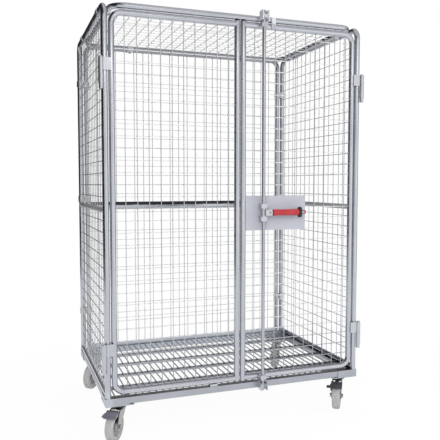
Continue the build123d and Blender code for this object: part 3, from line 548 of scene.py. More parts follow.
# The columns are base, shade, smooth, dull, grain, depth, dust, low zone and recess shade, the
# amount of painted shade in the recess.
MOULDED = {
    "black_clip": ((0.012, 0.012, 0.013), (0.022, 0.022, 0.023), 0.36, 0.5, 0.0011, 0.0001, 0.1, 0.1, 0.0),
    "red_grip": ((0.46, 0.026, 0.032), (0.38, 0.020, 0.026), 0.30, 0.42, 0.0012, 0.00008, 0.06, 0.1, 0.0),
    "grey_rim": ((0.48, 0.48, 0.48), (0.42, 0.42, 0.42), 0.38, 0.52, 0.0012, 0.0001, 0.1, 0.2, 0.9),
    "grey_tread": ((0.42, 0.42, 0.42), (0.35, 0.35, 0.35), 0.55, 0.75, 0.0016, 0.0002, 0.4, 0.9, 0.0),
    "dark_brake": ((0.026, 0.026, 0.034), (0.045, 0.045, 0.056), 0.32, 0.5, 0.002, 0.0001, 0.08, 0.12, 0.0),
}
finishes.update({name: moulded_finish(name, *values) for name, values in MOULDED.items()})
for piece in nodes.values():
    slot = piece.data.materials[0].name.split(".")[0]
    piece.data.materials[0] = finishes[slot]
print("finishes", sorted(finishes), "on", len(nodes), "nodes")

# %% [markdown]
# ## Surfaces from arrays
# The pieces below are worked out as whole arrays of points. A grid of rows and columns becomes a
# mesh when each small square of neighbours becomes a face, and a grid whose last column meets its
# first becomes a tube or a wheel. After that the doubled points of a pole are merged and the
# faces are turned outwards, so every closed piece is a proper solid skin.

# %% Mesh helpers
POLE_GAP = 1e-6
EDGE_ANGLE = np.radians(50)


def grid_quads(rows, columns, close_rows=False, close_columns=True):
    """Faces between neighbouring rows and columns, joined round where a direction closes."""
    row = np.arange(rows if close_rows else rows - 1)[:, None]
    column = np.arange(columns if close_columns else columns - 1)[None, :]
    row_after = (row + 1) % rows
    column_after = (column + 1) % columns
    corners = [row * columns + column, row * columns + column_after,
               row_after * columns + column_after, row_after * columns + column]
    return np.stack(np.broadcast_arrays(*corners), -1).reshape(-1, 4)


def linked_object(name, data):
    """An object of a mesh, a lamp or a camera, in the scene."""
    piece = bpy.data.objects.new(name, data)
    bpy.context.scene.collection.objects.link(piece)
    return piece


def make_piece(name, points, faces, body, slot, crease=40.0):
    """One object from points and faces: poles merged, faces outward, smooth but for sharp creases."""
    mesh = bpy.data.meshes.new(name)
    mesh.from_pydata(np.asarray(points).reshape(-1, 3).tolist(), [], [list(face) for face in faces])
    shell = bmesh.new()
    shell.from_mesh(mesh)
    bmesh.ops.remove_doubles(shell, verts=shell.verts, dist=POLE_GAP)
    bmesh.ops.recalc_face_normals(shell, faces=shell.faces)
    shell.to_mesh(mesh)
    shell.free()
    mesh.shade_smooth()
    mesh.set_sharp_from_angle(angle=np.radians(crease))
    piece = linked_object(name, mesh)
    mesh.materials.append(finishes[slot])
    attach(piece, body)
    print(name, "on", body, "faces", len(mesh.polygons))
    return piece


def grid_piece(name, grid, body, slot, crease=40.0, **closing):
    """One object from a grid of points, joined round where a direction closes."""
    return make_piece(name, grid, grid_quads(*grid.shape[:2], **closing), body, slot, crease)


def round_edges(piece, width):
    """Bevel of two segments on every edge sharper than the edge angle."""
    rounding = piece.modifiers.new("edges", "BEVEL")
    rounding.width = width
    rounding.segments = 2
    rounding.limit_method = "ANGLE"
    rounding.angle_limit = EDGE_ANGLE


print("faces of a closed grid of 4 by 6:", len(grid_quads(4, 6, close_rows=True)))

# %% Turned and repeated shapes
X_AXIS, Z_AXIS = (1, 0, 0), (0, 0, 1)
ORIGIN = (0, 0, 0)


def full_turn(steps):
    """Angles once round, without the last that meets the first."""
    return np.linspace(0, 2 * np.pi, steps, endpoint=False)


def unit(vectors):
    """Vectors of length one in the same directions."""
    return vectors / np.linalg.norm(vectors, axis=-1, keepdims=True)


def revolved(profile, origin, axis, sides):
    """Profile of (along, radius) about an axis: origin + along * axis + radius * turning ring."""
    axis = np.asarray(axis, float)
    helper = np.array([0.0, 0.0, 1.0]) if abs(axis[2]) < 0.9 else np.array([1.0, 0.0, 0.0])
    first = unit(np.cross(helper, axis))
    second = np.cross(axis, first)
    turn = full_turn(sides)[:, None]
    ring = np.cos(turn) * first + np.sin(turn) * second
    along, radius = np.asarray(profile, float).T[:, :, None, None]
    return np.asarray(origin) + along * axis + radius * ring


def side_by_side(grids, **closing):
    """Several grids of one size as one set of points and faces, the face numbers counted on."""
    grids = np.asarray(grids)
    count, rows, columns = grids.shape[:3]
    first = np.arange(count)[:, None, None] * rows * columns
    return grids, (first + grid_quads(rows, columns, **closing)).reshape(-1, 4)


def repeated(grid, places):
    """The same small grid at every place: place + grid."""
    return side_by_side(places[:, None, None] + grid)


print("corners of a square turned about z", revolved([(0, 1)], ORIGIN, Z_AXIS, 4).round(3).tolist())


# %% [markdown]
# ## Welds in the mesh
# Where two wires cross they are pressed together hot, and the metal squeezes out in a small flat
# bead. A wire's end is melted onto its tube in the same way. One squashed ball of a few dozen
# faces stands at each of these places, so the mesh reads as welded and not as bars laid across
# each other. The wire places repeat the part's own pitch of 50 mm.

# %% Weld spots
PITCH = 0.05
LEVELS = 0.275 + PITCH * np.arange(30)
BAR_LEVEL = 0.975
LEAF_Y = -0.3775
BACK_Y = 0.4175
SIDE_X = 0.5875
TOP_Z = 1.7975
BALL_ROWS, BALL_SIDES = 5, 8
SPOT_HALF, SPOT_FLAT = 0.0027, 0.0018


def squashed_ball(size):
    """Ball of a few rows and columns, scaled to half sizes along x, y and z."""
    rise = np.linspace(-np.pi / 2, np.pi / 2, BALL_ROWS)
    profile = np.stack([np.sin(rise), np.cos(rise)], -1)
    return revolved(profile, ORIGIN, Z_AXIS, BALL_SIDES) * np.asarray(size)


def crossings(first, second):
    """Every pair of two lists of places, as two flat arrays."""
    one, two = np.meshgrid(first, second)
    return one.ravel(), two.ravel()


def weld_spots(name, body, across, up, normal_axis, plane, reach, rise):
    """Beads at every wire crossing of one panel and at both ends of its wires."""
    one, two = crossings(across, up)
    low, high = np.full(len(across), rise[0]), np.full(len(across), rise[1])
    left, right = np.full(len(up), reach[0]), np.full(len(up), reach[1])
    flat = np.stack([np.concatenate([one, across, across, left, right]),
                     np.concatenate([two, low, high, up, up])], -1)
    places = np.insert(flat, normal_axis, plane, axis=1)
    size = np.insert(np.full(2, SPOT_HALF), normal_axis, SPOT_FLAT)
    return make_piece(name, *repeated(squashed_ball(size), places), body, "zinc_wire")


DEPTH_MIDDLE = 0.02
LEFT_FIRST, RIGHT_FIRST = -0.506, 0.0675
panel_levels = LEVELS[np.abs(LEVELS - BAR_LEVEL) > 0.01]
side_rows = DEPTH_MIDDLE + PITCH * np.arange(-7, 8)
back_columns = PITCH * np.arange(-10, 11)
left_columns = LEFT_FIRST + PITCH * np.arange(10)
right_columns = RIGHT_FIRST + PITCH * np.arange(10)
LEFT_REACH, RIGHT_REACH, LEAF_RISE = (-0.547, -0.0265), (0.0265, 0.547), (0.2255, 1.7555)
SIDE_REACH, BACK_REACH, PANEL_RISE = (-0.365, 0.405), (-0.543, 0.543), (0.2145, 1.785)
ROOF_REACH = (-0.365, 0.373)
weld_spots("left_door_welds", "left_door", left_columns, LEVELS, 1, LEAF_Y, LEFT_REACH, LEAF_RISE)
weld_spots("right_door_welds", "right_door", right_columns, LEVELS, 1, LEAF_Y, RIGHT_REACH, LEAF_RISE)
weld_spots("left_side_welds", "frame", side_rows, panel_levels, 0, -SIDE_X, SIDE_REACH, PANEL_RISE)
weld_spots("right_side_welds", "frame", side_rows, panel_levels, 0, SIDE_X, SIDE_REACH, PANEL_RISE)
weld_spots("back_welds", "frame", back_columns, panel_levels, 1, BACK_Y, BACK_REACH, PANEL_RISE)
weld_spots("roof_welds", "frame", back_columns, side_rows[:-1], 2, TOP_Z, BACK_REACH, ROOF_REACH)

# %% Floor welds
ROD_SPACING = 0.03
BEARER_SPACING = 0.163
BEARER_TOP = 0.184
FLOOR_SPOT = (0.0042, 0.0062, 0.0018)
rod_columns = ROD_SPACING * (np.arange(38) - 18.5)
bearer_rows = DEPTH_MIDDLE + BEARER_SPACING * np.array([-1.5, -0.5, 0.5, 1.5])
weld_x, weld_y = crossings(rod_columns, bearer_rows)
weld_places = np.stack([weld_x, weld_y, np.full_like(weld_x, BEARER_TOP)], -1)
make_piece("floor_welds", *repeated(squashed_ball(FLOOR_SPOT), weld_places), "frame", "zinc_base")

# %% [markdown]
# ## Weld beads on the tubes
# A bar meets a post of nearly its own size, so the joint is a saddle: round the bar the distance
# to the post's axis is the root of post radius squared less the sideways step squared. A bead is
# a small round profile carried along that curve, with the ripple that a welder's hand leaves.

# %% Bead shapes
BEAD_R = 0.0017
BEAD_STEPS, BEAD_SIDES = 60, 8
RIPPLE_SHARE, RIPPLE_TURN = 0.18, np.pi / 1.5
POST_R = 0.0125
POST_FOOT = 0.19


def bead(path, axis):
    """Round profile carried round a closed path, its radius rippled a few times a centimetre."""
    ahead = unit(np.roll(path, -1, 0) - np.roll(path, 1, 0))
    out = unit(axis - (ahead @ axis)[:, None] * ahead)
    side = np.cross(ahead, out)
    turn = full_turn(BEAD_SIDES)[None, :, None]
    ripple = BEAD_R * (1 + RIPPLE_SHARE * np.cos(np.arange(len(path)) * RIPPLE_TURN))
    ring = np.cos(turn) * out[:, None] + np.sin(turn) * side[:, None]
    return path[:, None] + ripple[:, None, None] * ring


def saddle(post, way, rise, bar_radius, extra=0.0):
    """Curve where a level bar meets an upright post: step sideways, rise, and reach to the bar."""
    turn = full_turn(BEAD_STEPS)[:, None]
    step = bar_radius * np.cos(turn)
    reach = np.sqrt(POST_R ** 2 - np.minimum(np.abs(step), POST_R) ** 2)
    height = bar_radius * np.sin(turn) + extra * np.tanh(5 * np.sin(turn))
    way = np.array([*way, 0.0])
    across = np.array([-way[1], way[0], 0.0])
    return np.array([*post, rise]) + reach * way + step * across + height * np.array(Z_AXIS), way


def foot(x, y):
    """Circle where a post stands on the base."""
    turn = full_turn(BEAD_STEPS)
    ring = np.stack([POST_R * np.cos(turn), POST_R * np.sin(turn), np.zeros(BEAD_STEPS)], -1)
    return np.array([x, y, POST_FOOT]) + ring, np.array(Z_AXIS, float)


def beads(name, body, joints):
    """Several beads in one piece, each from a saddle or a foot."""
    rings = [bead(path, way) for path, way in joints]
    return make_piece(name, *side_by_side(rings, close_rows=True), body, "zinc_fitting")


print("points of a bead", bead(*foot(0.0, 0.0)).shape[:2])

# %% Bead pieces
BAR_R, BOW_R = 0.012, 0.0123
INNER_X = 0.5555
MEET_X = 0.014
LEAVES = ((-1, "left_door"), (1, "right_door"))
LOW_BAR, SIDE_BAR, BACK_BAR = 0.202, 0.97, 0.962
BACK_BAR_EXTRA = 0.008
BOW_LEVELS = (0.2125, 1.7685)
frame_joints = [foot(x, y) for x in (-SIDE_X, SIDE_X) for y in (LEAF_Y, BACK_Y)]
frame_joints += [foot(x, BACK_Y) for x in (-INNER_X, INNER_X)]
for x in (-SIDE_X, SIDE_X):
    for rise in (LOW_BAR, SIDE_BAR):
        frame_joints += [saddle((x, LEAF_Y), (0, 1), rise, BAR_R), saddle((x, BACK_Y), (0, -1), rise, BAR_R)]
for x, way in ((-INNER_X, 1), (INNER_X, -1)):
    frame_joints += [saddle((x, BACK_Y), (way, 0), LOW_BAR, BAR_R),
                     saddle((x, BACK_Y), (way, 0), BACK_BAR, BAR_R, BACK_BAR_EXTRA)]
beads("frame_beads", "frame", frame_joints)
for side, body in LEAVES:
    leaf_joints = [saddle((side * MEET_X, LEAF_Y), (side, 0), rise, BOW_R) for rise in BOW_LEVELS]
    beads(f"{body}_beads", body, leaf_joints)

# %% [markdown]
# ## Plugs in the stiles
# The meeting stiles are cut tubes, closed at both ends by pushed-in plastic plugs with a low
# domed head. A plug is a short profile turned about the stile's axis.

# %% Stile plugs
PLUG = np.array([(0.0, 0.0), (0.0, 0.0108), (0.0004, 0.0121), (0.0012, 0.0122), (0.0019, 0.0112),
                 (0.0024, 0.008), (0.0026, 0.0)])
PLUG_SIDES = 32
STILE_ENDS = ((1.781, Z_AXIS), (0.2, (0, 0, -1)))
for side, body in LEAVES:
    plugs = [revolved(PLUG, (side * MEET_X, LEAF_Y, end), way, PLUG_SIDES) for end, way in STILE_ENDS]
    make_piece(f"{body}_stile_plugs", *side_by_side(plugs), body, "black_clip")

# %% [markdown]
# ## Lever grip, flange, tip and clip
# The red grip is a soft sleeve with a collar at each end and shallow rings for the fingers, so it
# is a profile turned about the lever, and so is the small red cap on the lever's tip. Between them
# stands an upright black flange that keeps the hand off the clip. Flange and clip are outlines
# carried along the lever, with their edges rounded by a bevel.

# %% Grip and tip
LEVER = np.array([0.0, -0.422, 0.953])
LEVER_R = 0.008
GRIP_ENDS = (0.1375, 0.2645)
GRIP_STEPS, GRIP_SIDES, TIP_SIDES = 97, 48, 32
GRIP_R, GRIP_WAIST = 0.0139, 0.0004
RING_DEPTH, RING_STEP = 0.00022, 0.0057
COLLAR_R, COLLAR_LENGTH, COLLAR_SLOPE = 0.0149, 0.005, 0.002
END_LENGTH, END_SHARE = 0.0025, 0.35
TIP = np.array([(0.2918, 0.008), (0.2918, 0.0088), (0.2965, 0.0092), (0.2988, 0.0082), (0.2999, 0.0055),
                (0.3002, 0.0)])


def grip_profile():
    """Radius along the grip: collars at the ends, a slight waist and fine rings between them."""
    along = np.linspace(0, 1, GRIP_STEPS)
    length = GRIP_ENDS[1] - GRIP_ENDS[0]
    place = along * length
    from_end = np.minimum(place, length - place)
    sleeve = np.clip((from_end - COLLAR_LENGTH) / COLLAR_SLOPE, 0, 1)
    round_end = np.sqrt(np.clip(1 - (1 - np.clip(from_end / END_LENGTH, 0, 1)) ** 2, 0, 1))
    waist = GRIP_R + GRIP_WAIST * np.cos(2 * np.pi * along)
    rings = waist + RING_DEPTH * np.cos(2 * np.pi * place / RING_STEP)
    proud = sleeve * rings + (1 - sleeve) * COLLAR_R - LEVER_R
    radius = LEVER_R + proud * (END_SHARE + (1 - END_SHARE) * round_end)
    middle = np.stack([GRIP_ENDS[0] + place, radius], -1)
    return np.concatenate([[(GRIP_ENDS[0], LEVER_R)], middle, [(GRIP_ENDS[1], LEVER_R)]])


grip = revolved(grip_profile(), LEVER, X_AXIS, GRIP_SIDES)
grip_piece = grid_piece("finger_grip", grip, "lock", "red_grip", close_rows=True)
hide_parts("lever_grip")
grid_piece("lever_tip", revolved(TIP, LEVER, X_AXIS, TIP_SIDES), "lock", "red_grip")


# %% Outlines carried along the lever
def rounded_outline(corners, radii, steps=5):
    """Closed outline with every corner rounded: a curve between its two tangent points."""
    corners = np.asarray(corners, float)
    radii = np.asarray(radii, float)[:, None]
    back = unit(np.roll(corners, 1, 0) - corners)
    ahead = unit(np.roll(corners, -1, 0) - corners)
    half = np.arccos(np.clip((back * ahead).sum(1, keepdims=True), -1, 1)) / 2
    start = (corners + back * radii / np.tan(half))[:, None]
    end = (corners + ahead * radii / np.tan(half))[:, None]
    share = np.linspace(0, 1, steps)[None, :, None]
    curve = (1 - share) ** 2 * start + 2 * share * (1 - share) * corners[:, None] + share ** 2 * end
    return curve.reshape(-1, 2)


def carried(name, outline, ends, place, body, slot, edge):
    """Outline of (y, z) carried along x between two ends, with its edges rounded by a bevel."""
    count = len(outline)
    sections = np.stack([np.column_stack([np.full(count, end), outline]) for end in ends]) + place
    caps = [list(range(count)), list(range(count, 2 * count))]
    piece = make_piece(name, sections, grid_quads(2, count).tolist() + caps, body, slot)
    round_edges(piece, edge)
    return piece


# %% Flange and clip
FLANGE_ENDS = (0.265, 0.278)
FLANGE_STEPS, FLANGE_EDGE = 64, 0.003
FLANGE_HALF, FLANGE_RISE, FLANGE_EXTRA = 0.015, 0.0142, 0.0098
CLIP_ENDS, CLIP_EDGE = (0.2805, 0.2905), 0.0008
PLATE_FRONT, CLIP_FRONT, CLIP_SEAT = -0.383575, -0.43, -0.4135
CLIP_HALF, SEAT_HALF = 0.014, 0.0085
TIP_ROUND, SEAT_ROUND, FOOT_ROUND = 0.0025, 0.007, 0.001
turn = full_turn(FLANGE_STEPS)
flange_rise = FLANGE_RISE * np.sin(turn) + FLANGE_EXTRA * np.tanh(4 * np.sin(turn))
flange_outline = np.stack([FLANGE_HALF * np.cos(turn), flange_rise], -1)
flange = carried("lever_flange_stop", flange_outline, FLANGE_ENDS, LEVER, "lock", "black_clip", FLANGE_EDGE)
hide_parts("lever_flange")
clip_corners = [(CLIP_FRONT, CLIP_HALF), (CLIP_FRONT, SEAT_HALF), (CLIP_SEAT, SEAT_HALF),
                (CLIP_SEAT, -SEAT_HALF), (CLIP_FRONT, -SEAT_HALF), (CLIP_FRONT, -CLIP_HALF),
                (PLATE_FRONT, -CLIP_HALF), (PLATE_FRONT, CLIP_HALF)]
clip_radii = [TIP_ROUND] * 2 + [SEAT_ROUND] * 2 + [TIP_ROUND] * 2 + [FOOT_ROUND] * 2
clip_piece = carried("lever_fork_clip", rounded_outline(clip_corners, clip_radii), CLIP_ENDS,
                     (0, 0, LEVER[2]), "right_door", "zinc_fitting", CLIP_EDGE)
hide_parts("lever_clip")

# %% [markdown]
# ## Casters
# A caster of this kind has a fork pressed from one strip of sheet, a domed swivel head, and a
# moulded wheel with a ribbed centre and a rounded tread. The strip is a U-shaped path carried from
# the fork's front edge to its rear edge, and a Solidify modifier gives it its gauge. Head and wheel
# are profiles turned about their axes, and so are the low ribs that keep a shoe from slipping off
# the brake plate. All are made in the caster's own frame, with the trail towards -Y, and then set
# at their swivel axes.

# %% Caster places
HEADING = np.radians(35.0)
TRAIL = 0.044
AXLE_Z = 0.0625
CASTERS = {"front_left": (-0.535, -0.325), "front_right": (0.535, -0.325),
           "rear_left": (-0.535, 0.365), "rear_right": (0.535, 0.365)}


def placed(points, place):
    """Points of the caster's own frame, turned to the rest heading and moved to the swivel axis."""
    x, y, z = np.moveaxis(np.asarray(points), -1, 0)
    cos, sin = np.cos(HEADING), np.sin(HEADING)
    return np.stack([x * cos + y * sin, y * cos - x * sin, z], -1) + np.array([*place, 0.0])


print("casters", list(CASTERS), "heading", round(float(np.degrees(HEADING)), 1))

# %% Wheel surfaces
TREAD_SIDES, CENTRE_SIDES = 96, 72
TREAD_HALF, SEAT_SIDE, TREAD_SEAT = 0.018, 0.017, 0.048
SHOULDER_R, CROWN_HEIGHT = 0.0515, 0.011
SEAM_HEIGHT, SEAM_WIDTH = 0.0004, 0.0012
RIB_COUNT, RIB_HEIGHT = 6, 0.006
WEB_MIDDLE, WEB_SPREAD = 0.028, 0.009
CENTRE_HALF = np.array([(0.0195, 0.00605), (0.0195, 0.0125), (0.019, 0.0142), (0.0175, 0.015),
                        (0.010, 0.0165), (0.0072, 0.019), (0.006, 0.023), (0.006, 0.033),
                        (0.0072, 0.0375), (0.0105, 0.0398), (0.0145, 0.0408), (0.0158, 0.0418),
                        (0.016, 0.0435), (0.016, 0.048)])


def tread_profile():
    """Outline of the tread: a flattened oval outside, a straight seat inside, a fine centre seam."""
    turn = np.linspace(0, np.pi, 33)
    side = -np.sign(np.cos(turn)) * np.abs(np.cos(turn)) ** 0.55 * TREAD_HALF
    crown = SHOULDER_R + CROWN_HEIGHT * np.abs(np.sin(turn)) ** 0.6
    seam = SEAM_HEIGHT * np.exp(-(side / SEAM_WIDTH) ** 2)
    outer = np.stack([side, crown - SEAM_HEIGHT + seam], -1)
    return np.concatenate([[(-SEAT_SIDE, TREAD_SEAT)], outer, [(SEAT_SIDE, TREAD_SEAT)]])


def centre_surface():
    """Boss, dished web and barrel, the web raised into ribs by a cosine of the turn."""
    profile = np.concatenate([CENTRE_HALF, CENTRE_HALF[::-1] * np.array([-1, 1])])
    points = revolved(profile, ORIGIN, X_AXIS, CENTRE_SIDES)
    in_web = np.exp(-((profile[:, 1:] - WEB_MIDDLE) / WEB_SPREAD) ** 4)
    rib = np.clip((np.cos(RIB_COUNT * full_turn(CENTRE_SIDES)[None, :]) - 0.72) / 0.2, 0, 1)
    points[..., 0] += np.sign(profile[:, :1]) * RIB_HEIGHT * in_web * rib
    return points


print("points of a tread's outline", len(tread_profile()), "and of a centre", centre_surface().shape[:2])

# %% Wheels
BOSS_EDGE, BARREL_EDGE = 0.0155, 0.0405
# LOW_RECESS keeps the painted shade lighter below the axle, out of the fork's shadow.
LOW_RECESS, RECESS_FADE = 0.4, (-0.012, 0.02)


def mark_recess_shade(piece, place):
    """Vertex value for the painted shade in the recess: 1 between boss and barrel, 0 on both,
    and less below the axle, out of the fork's shadow.
    """
    points = np.array([vertex.co for vertex in piece.data.vertices]) - np.array([*place, AXLE_Z])
    along = points[:, 0] * np.sin(HEADING) + points[:, 1] * np.cos(HEADING) + TRAIL
    radius = np.hypot(along, points[:, 2])
    inside = np.clip((radius - BOSS_EDGE) / 0.002, 0, 1) * np.clip((BARREL_EDGE - radius) / 0.0015, 0, 1)
    rise = (points[:, 2] - RECESS_FADE[0]) / RECESS_FADE[1]
    inside *= np.clip(LOW_RECESS + rise, LOW_RECESS, 1)
    recess_shade = piece.data.attributes.new("recess_shade", "FLOAT", "POINT")
    recess_shade.data.foreach_set("value", inside.astype(np.float32))


wheel_shift = np.array([0.0, -TRAIL, AXLE_Z])
tread = revolved(tread_profile(), ORIGIN, X_AXIS, TREAD_SIDES) + wheel_shift
centre = centre_surface() + wheel_shift
for name, place in CASTERS.items():
    wheel = f"{name}_wheel"
    tread_piece = grid_piece(f"{name}_tread", placed(tread, place), wheel, "grey_tread", close_rows=True)
    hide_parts(f"{name}_tyre")
    centre_piece = grid_piece(f"{name}_wheel_centre", placed(centre, place), wheel, "grey_rim", 60.0,
                              close_rows=True)
    mark_recess_shade(centre_piece, place)
    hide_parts(f"{name}_rim")

# %% Fork strip
FORK_HALF, FORK_BEND, FORK_TOP = 0.022, 0.008, 0.134
FORK_SHOULDER = 0.128
FORK_FRONT, FORK_REAR = -0.026, 0.036
EYE_R, EYE_CUT = 0.017, 0.0002
LEG_STEPS, STRIP_STEPS = 26, 9


def fork_strip():
    """U-shaped strip: up one leg, over the crown and down the other, from front to rear edge."""
    leg_top, crown_x = FORK_TOP - FORK_BEND, FORK_HALF - FORK_BEND
    leg = np.linspace(AXLE_Z - EYE_R + EYE_CUT, leg_top, LEG_STEPS)
    bend = np.radians(np.linspace(180, 90, 9))[1:]
    crown = np.linspace(-crown_x, 0, 5)[1:]
    half_x = np.concatenate([np.full(LEG_STEPS, -FORK_HALF), -crown_x + FORK_BEND * np.cos(bend), crown])
    half_z = np.concatenate([leg, leg_top + FORK_BEND * np.sin(bend), np.full(len(crown), FORK_TOP)])
    x = np.concatenate([half_x, -half_x[-2::-1]])[:, None]
    z = np.concatenate([half_z, half_z[-2::-1]])[:, None]
    share = np.clip((z - AXLE_Z) / (FORK_SHOULDER - AXLE_Z), 0, 1)
    eye = np.sqrt(np.clip(EYE_R ** 2 - np.minimum(z - AXLE_Z, 0) ** 2, 0, None))
    front = TRAIL - eye + share * (FORK_FRONT - (TRAIL - EYE_R))
    rear = TRAIL + eye + share * (FORK_REAR - (TRAIL + EYE_R))
    trail = front + np.linspace(0, 1, STRIP_STEPS)[None, :] * (rear - front)
    return np.stack(np.broadcast_arrays(x, -trail, z), -1)


strip = fork_strip()
print("fork strip", strip.shape)

# %% Forks and swivel heads
FORK_GAUGE, FORK_EDGE = 0.0038, 0.0009
HEAD = np.array([(0.1362, 0.0072), (0.1362, 0.026), (0.1368, 0.0325), (0.1385, 0.0352), (0.1405, 0.036),
                 (0.1425, 0.0356), (0.1438, 0.0340), (0.1446, 0.0315), (0.1446, 0.0072)])
HEAD_SIDES = 64
head = revolved(HEAD, ORIGIN, Z_AXIS, HEAD_SIDES)
for name, place in CASTERS.items():
    swivel = f"{name}_swivel"
    fork_piece = grid_piece(f"{name}_fork_strip", placed(strip, place), swivel, "zinc_caster", 60.0,
                            close_columns=False)
    gauge = fork_piece.modifiers.new("gauge", "SOLIDIFY")
    gauge.thickness = FORK_GAUGE
    gauge.offset = 0.0
    round_edges(fork_piece, FORK_EDGE)
    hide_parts(f"{name}_fork")
    # The front swivel heads take the dark brake coat as painted shade under the base.
    shaded_head_slot = "dark_brake" if name.startswith("front") else "zinc_caster"
    grid_piece(f"{name}_swivel_head", placed(head, place), swivel, shaded_head_slot, close_rows=True)

# %% Ribs on the brake plates
RIB_R, RIB_SIDES = 0.0014, 12
RIB_FROM, RIB_TO = -0.021, 0.025
RIB_STEPS = np.array([-0.015, -0.005, 0.005, 0.015])
BRAKE_PLATE = np.array([0.0, -0.0791, 0.1237])
PLATE_OUT = np.array([0.0, -0.4226, 0.9063])
PLATE_ALONG = np.array([0.0, 0.9063, 0.4226])
PLATE_HALF = 0.0025
RIB = np.array([(RIB_FROM, 0.0), (RIB_FROM + 0.0004, 0.001), (RIB_FROM + 0.0014, RIB_R),
                (RIB_TO - 0.0014, RIB_R), (RIB_TO - 0.0004, 0.001), (RIB_TO, 0.0)])
rib_places = BRAKE_PLATE + PLATE_HALF * PLATE_OUT + RIB_STEPS[:, None] * PLATE_ALONG
rib_points, rib_faces = repeated(revolved(RIB, ORIGIN, X_AXIS, RIB_SIDES), rib_places)
for name in ("front_left", "front_right"):
    ribs = placed(rib_points, CASTERS[name])
    make_piece(f"{name}_brake_ribs", ribs, rib_faces, f"{name}_brake", "dark_brake")

# %% [markdown]
# ## Studio
# The photograph is a plain catalogue shot: white all round, soft light from the front, and dark
# lines where the bright tubes mirror the unlit parts of the room. The floor is white with a soft
# shadow near the wheels and fades to pure white further out. What the camera, gloss and glass see
# of the world is plain white, and all other rays get a softer, cooler light from it.

# %% Studio helpers
WHITE = (1, 1, 1, 1)


def sheet_mesh(name, points):
    """Grid of points, rows by columns, joined by four-sided faces into one sheet."""
    quads = grid_quads(*points.shape[:2], close_columns=False)
    mesh = bpy.data.meshes.new(name)
    mesh.from_pydata(points.reshape(-1, 3).tolist(), [], quads.tolist())
    return linked_object(name, mesh)


def seen_share(tree):
    """1 for rays from the camera, from gloss and through glass, else 0."""
    path = add_node(tree, "LightPath").outputs
    mirrored = maths("MAXIMUM", path["Is Glossy Ray"], path["Is Transmission Ray"])
    return maths("MAXIMUM", path["Is Camera Ray"], mirrored)


def mix_shaders(tree, share, first, second, surface):
    """Feeds a mix of two shaders into a surface."""
    inputs = {0: share, 1: first.outputs[0], 2: second.outputs[0]}
    tree.links.new(add_node(tree, "MixShader", inputs=inputs).outputs[0], surface)


# %% Floor
FLOOR_HALF, FLOOR_LINES = 14.0, 15
FLOOR_COLOUR = (0.9, 0.9, 0.9, 1)
SHADOW_FADE, LEAST_GLOW = (0.7, 2.0), 0.94


def floor_points():
    """Flat square grid on z = 0."""
    line = np.linspace(-FLOOR_HALF, FLOOR_HALF, FLOOR_LINES)
    across, along = np.meshgrid(line, line)
    return np.stack([across, along, np.zeros_like(across)], -1)


def floor_finish():
    """Matt white near the object, glowing white far out for what the camera and gloss see."""
    material, tree, shader = new_finish("studio_white")
    shader.inputs["Base Color"].default_value = FLOOR_COLOUR
    shader.inputs["Roughness"].default_value = 0.9
    shader.inputs["Specular IOR Level"].default_value = 0.0
    glow = add_node(tree, "Emission", inputs={"Color": WHITE, "Strength": 1.0})
    reach = add_node(tree, "VectorMath", operation="LENGTH", inputs={0: object_place(tree)})
    far = remap(reach.outputs["Value"], *SHADOW_FADE, LEAST_GLOW, 1.0)
    surface = tree.nodes["Material Output"].inputs["Surface"]
    mix_shaders(tree, product(far, seen_share(tree)), shader, glow, surface)
    return material


floor = sheet_mesh("studio_floor", floor_points())
floor.data.materials.append(floor_finish())
print("floor", 2 * FLOOR_HALF, "m wide, faces", len(floor.data.polygons))

# %% World
SKY_COLOUR, SKY_STRENGTH = (0.95, 0.97, 1.0, 1), 0.55
world = bpy.data.worlds.new("studio_world")
bpy.context.scene.world = world
world.use_nodes = True
sky = world.node_tree
for node in list(sky.nodes):
    sky.nodes.remove(node)
soft = add_node(sky, "Background", inputs={"Color": SKY_COLOUR, "Strength": SKY_STRENGTH})
white = add_node(sky, "Background", inputs={"Color": WHITE, "Strength": 1.0})
horizon = add_node(sky, "OutputWorld").inputs["Surface"]
mix_shaders(sky, seen_share(sky), soft, white, horizon)
print("world", world.name, "nodes", len(sky.nodes))

# %% [markdown]
# ## Lamps and cards
# Three soft area lamps light the container from the front left, the right and above. Zinc mirrors
# the room more than it shows the lamps, so the lamps stay out of reflections, and cards that only
# reflections can see stand in for the room: dark ones give the metal its dark edges, grey ones
# its middle tones, and bright ones its highlights.

# %% Lamps
AIM = np.array([0.0, 0.0, 0.9])


def softbox(name, place, size, power):
    """Square area lamp that faces the middle of the container and stays out of reflections."""
    lamp = bpy.data.lights.new(name, "AREA")
    lamp.energy = power
    lamp.size = size
    holder = linked_object(name, lamp)
    holder.location = place
    away = np.array(place) - AIM
    flat = np.hypot(away[0], away[1])
    holder.rotation_euler = (np.arctan2(flat, away[2]), 0.0, np.arctan2(away[0], -away[1]))
    holder.visible_glossy = False
    print("lamp", name, power, "W")


softbox("front_softbox", (-2.2, -4.2, 2.6), 2.4, 130)
softbox("right_softbox", (4.0, -2.0, 2.2), 2.0, 70)
softbox("top_softbox", (0.6, 0.4, 4.6), 2.6, 70)


# %% Card helpers
def make_card(name, points, strength):
    """Sheet with an even glow, near 0 for a dark card and above 1 for a lit one, seen only in gloss."""
    card = sheet_mesh(name, points)
    material, tree, shader = new_finish(name)
    tree.nodes.remove(shader)
    glow = add_node(tree, "Emission", inputs={"Color": WHITE, "Strength": strength})
    tree.links.new(glow.outputs[0], tree.nodes["Material Output"].inputs["Surface"])
    card.data.materials.append(material)
    for rays in ("camera", "diffuse", "transmission", "shadow", "volume_scatter"):
        setattr(card, f"visible_{rays}", False)


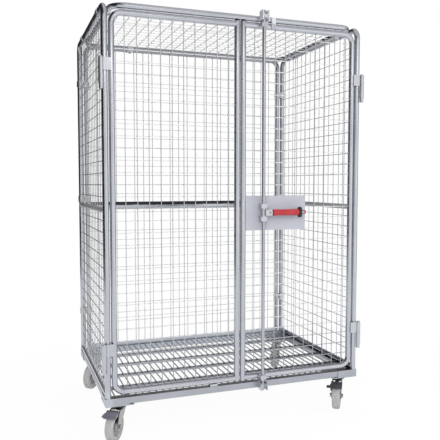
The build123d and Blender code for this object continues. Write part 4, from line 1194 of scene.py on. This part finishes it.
def wall_card(name, start, end, radius, low, high, strength):
    """Part of an upright cylinder round the container, between two angles in degrees."""
    angle, height = np.meshgrid(np.radians(np.linspace(start, end, 25)), np.array([low, high]))
    make_card(name, np.stack([radius * np.cos(angle), radius * np.sin(angle), height], -1), strength)


def ceiling_card(name, corner, size, height, strength):
    """Level rectangle above the container: a corner, and its size along x and y."""
    ends = np.array([0, 1])
    across, along = np.meshgrid(corner[0] + size[0] * ends, corner[1] + size[1] * ends)
    make_card(name, np.stack([across, along, np.full_like(across, height)], -1), strength)


# %% Cards for the reflections
WALL_R, FRONT_R = 4.5, 4.6
WALL_TOP = 4.2
CEILING = 2.6
DARK = 0.03
wall_card("dark_wall_card", 100, 218, WALL_R, 0.0, WALL_TOP, DARK)
wall_card("grey_right_card", -28, 48, WALL_R, 0.0, WALL_TOP, 0.5)
wall_card("bright_front_card", 290, 332, WALL_R, 0.0, 3.4, 1.25)
wall_card("grey_front_card", 225, 289, FRONT_R, 1.5, 2.0, 0.86)
wall_card("grey_upper_front_card", 225, 289, FRONT_R, 2.0, 3.6, 0.72)
wall_card("bright_top_card", 258, 282, WALL_R, 2.15, 2.95, 3.0)
ceiling_card("dark_rear_ceiling_card", (-4.5, 0.2), (9.0, 4.4), CEILING, DARK)
ceiling_card("dark_left_ceiling_card", (-4.5, -2.6), (3.7, 2.8), CEILING, DARK)
ceiling_card("grey_front_ceiling_card", (-0.8, -4.5), (5.3, 4.7), CEILING + 0.02, 0.72)

# %% [markdown]
# ## Camera
# The lens and the place come from lining up the straight edges of the cage in the photograph. The
# lens is kept as a share of the frame's width, so any sensor gives the same picture.

# %% Camera
LENS_PER_FRAME = 1.3562
SENSOR = 36.0
CAMERA_PLACE = (-0.9818, -2.8162, 1.0809)
CAMERA_TILT, CAMERA_TURN = np.radians(86.5), np.radians(-20.02)
camera_data = bpy.data.cameras.new("camera")
camera_data.sensor_width = SENSOR
camera_data.lens = LENS_PER_FRAME * SENSOR
camera = linked_object("camera", camera_data)
camera.location = CAMERA_PLACE
camera.rotation_euler = (CAMERA_TILT, 0.0, CAMERA_TURN)
bpy.context.scene.camera = camera
bpy.context.scene.view_settings.view_transform = "Standard"
print("camera at", CAMERA_PLACE, "lens", round(camera_data.lens, 2))
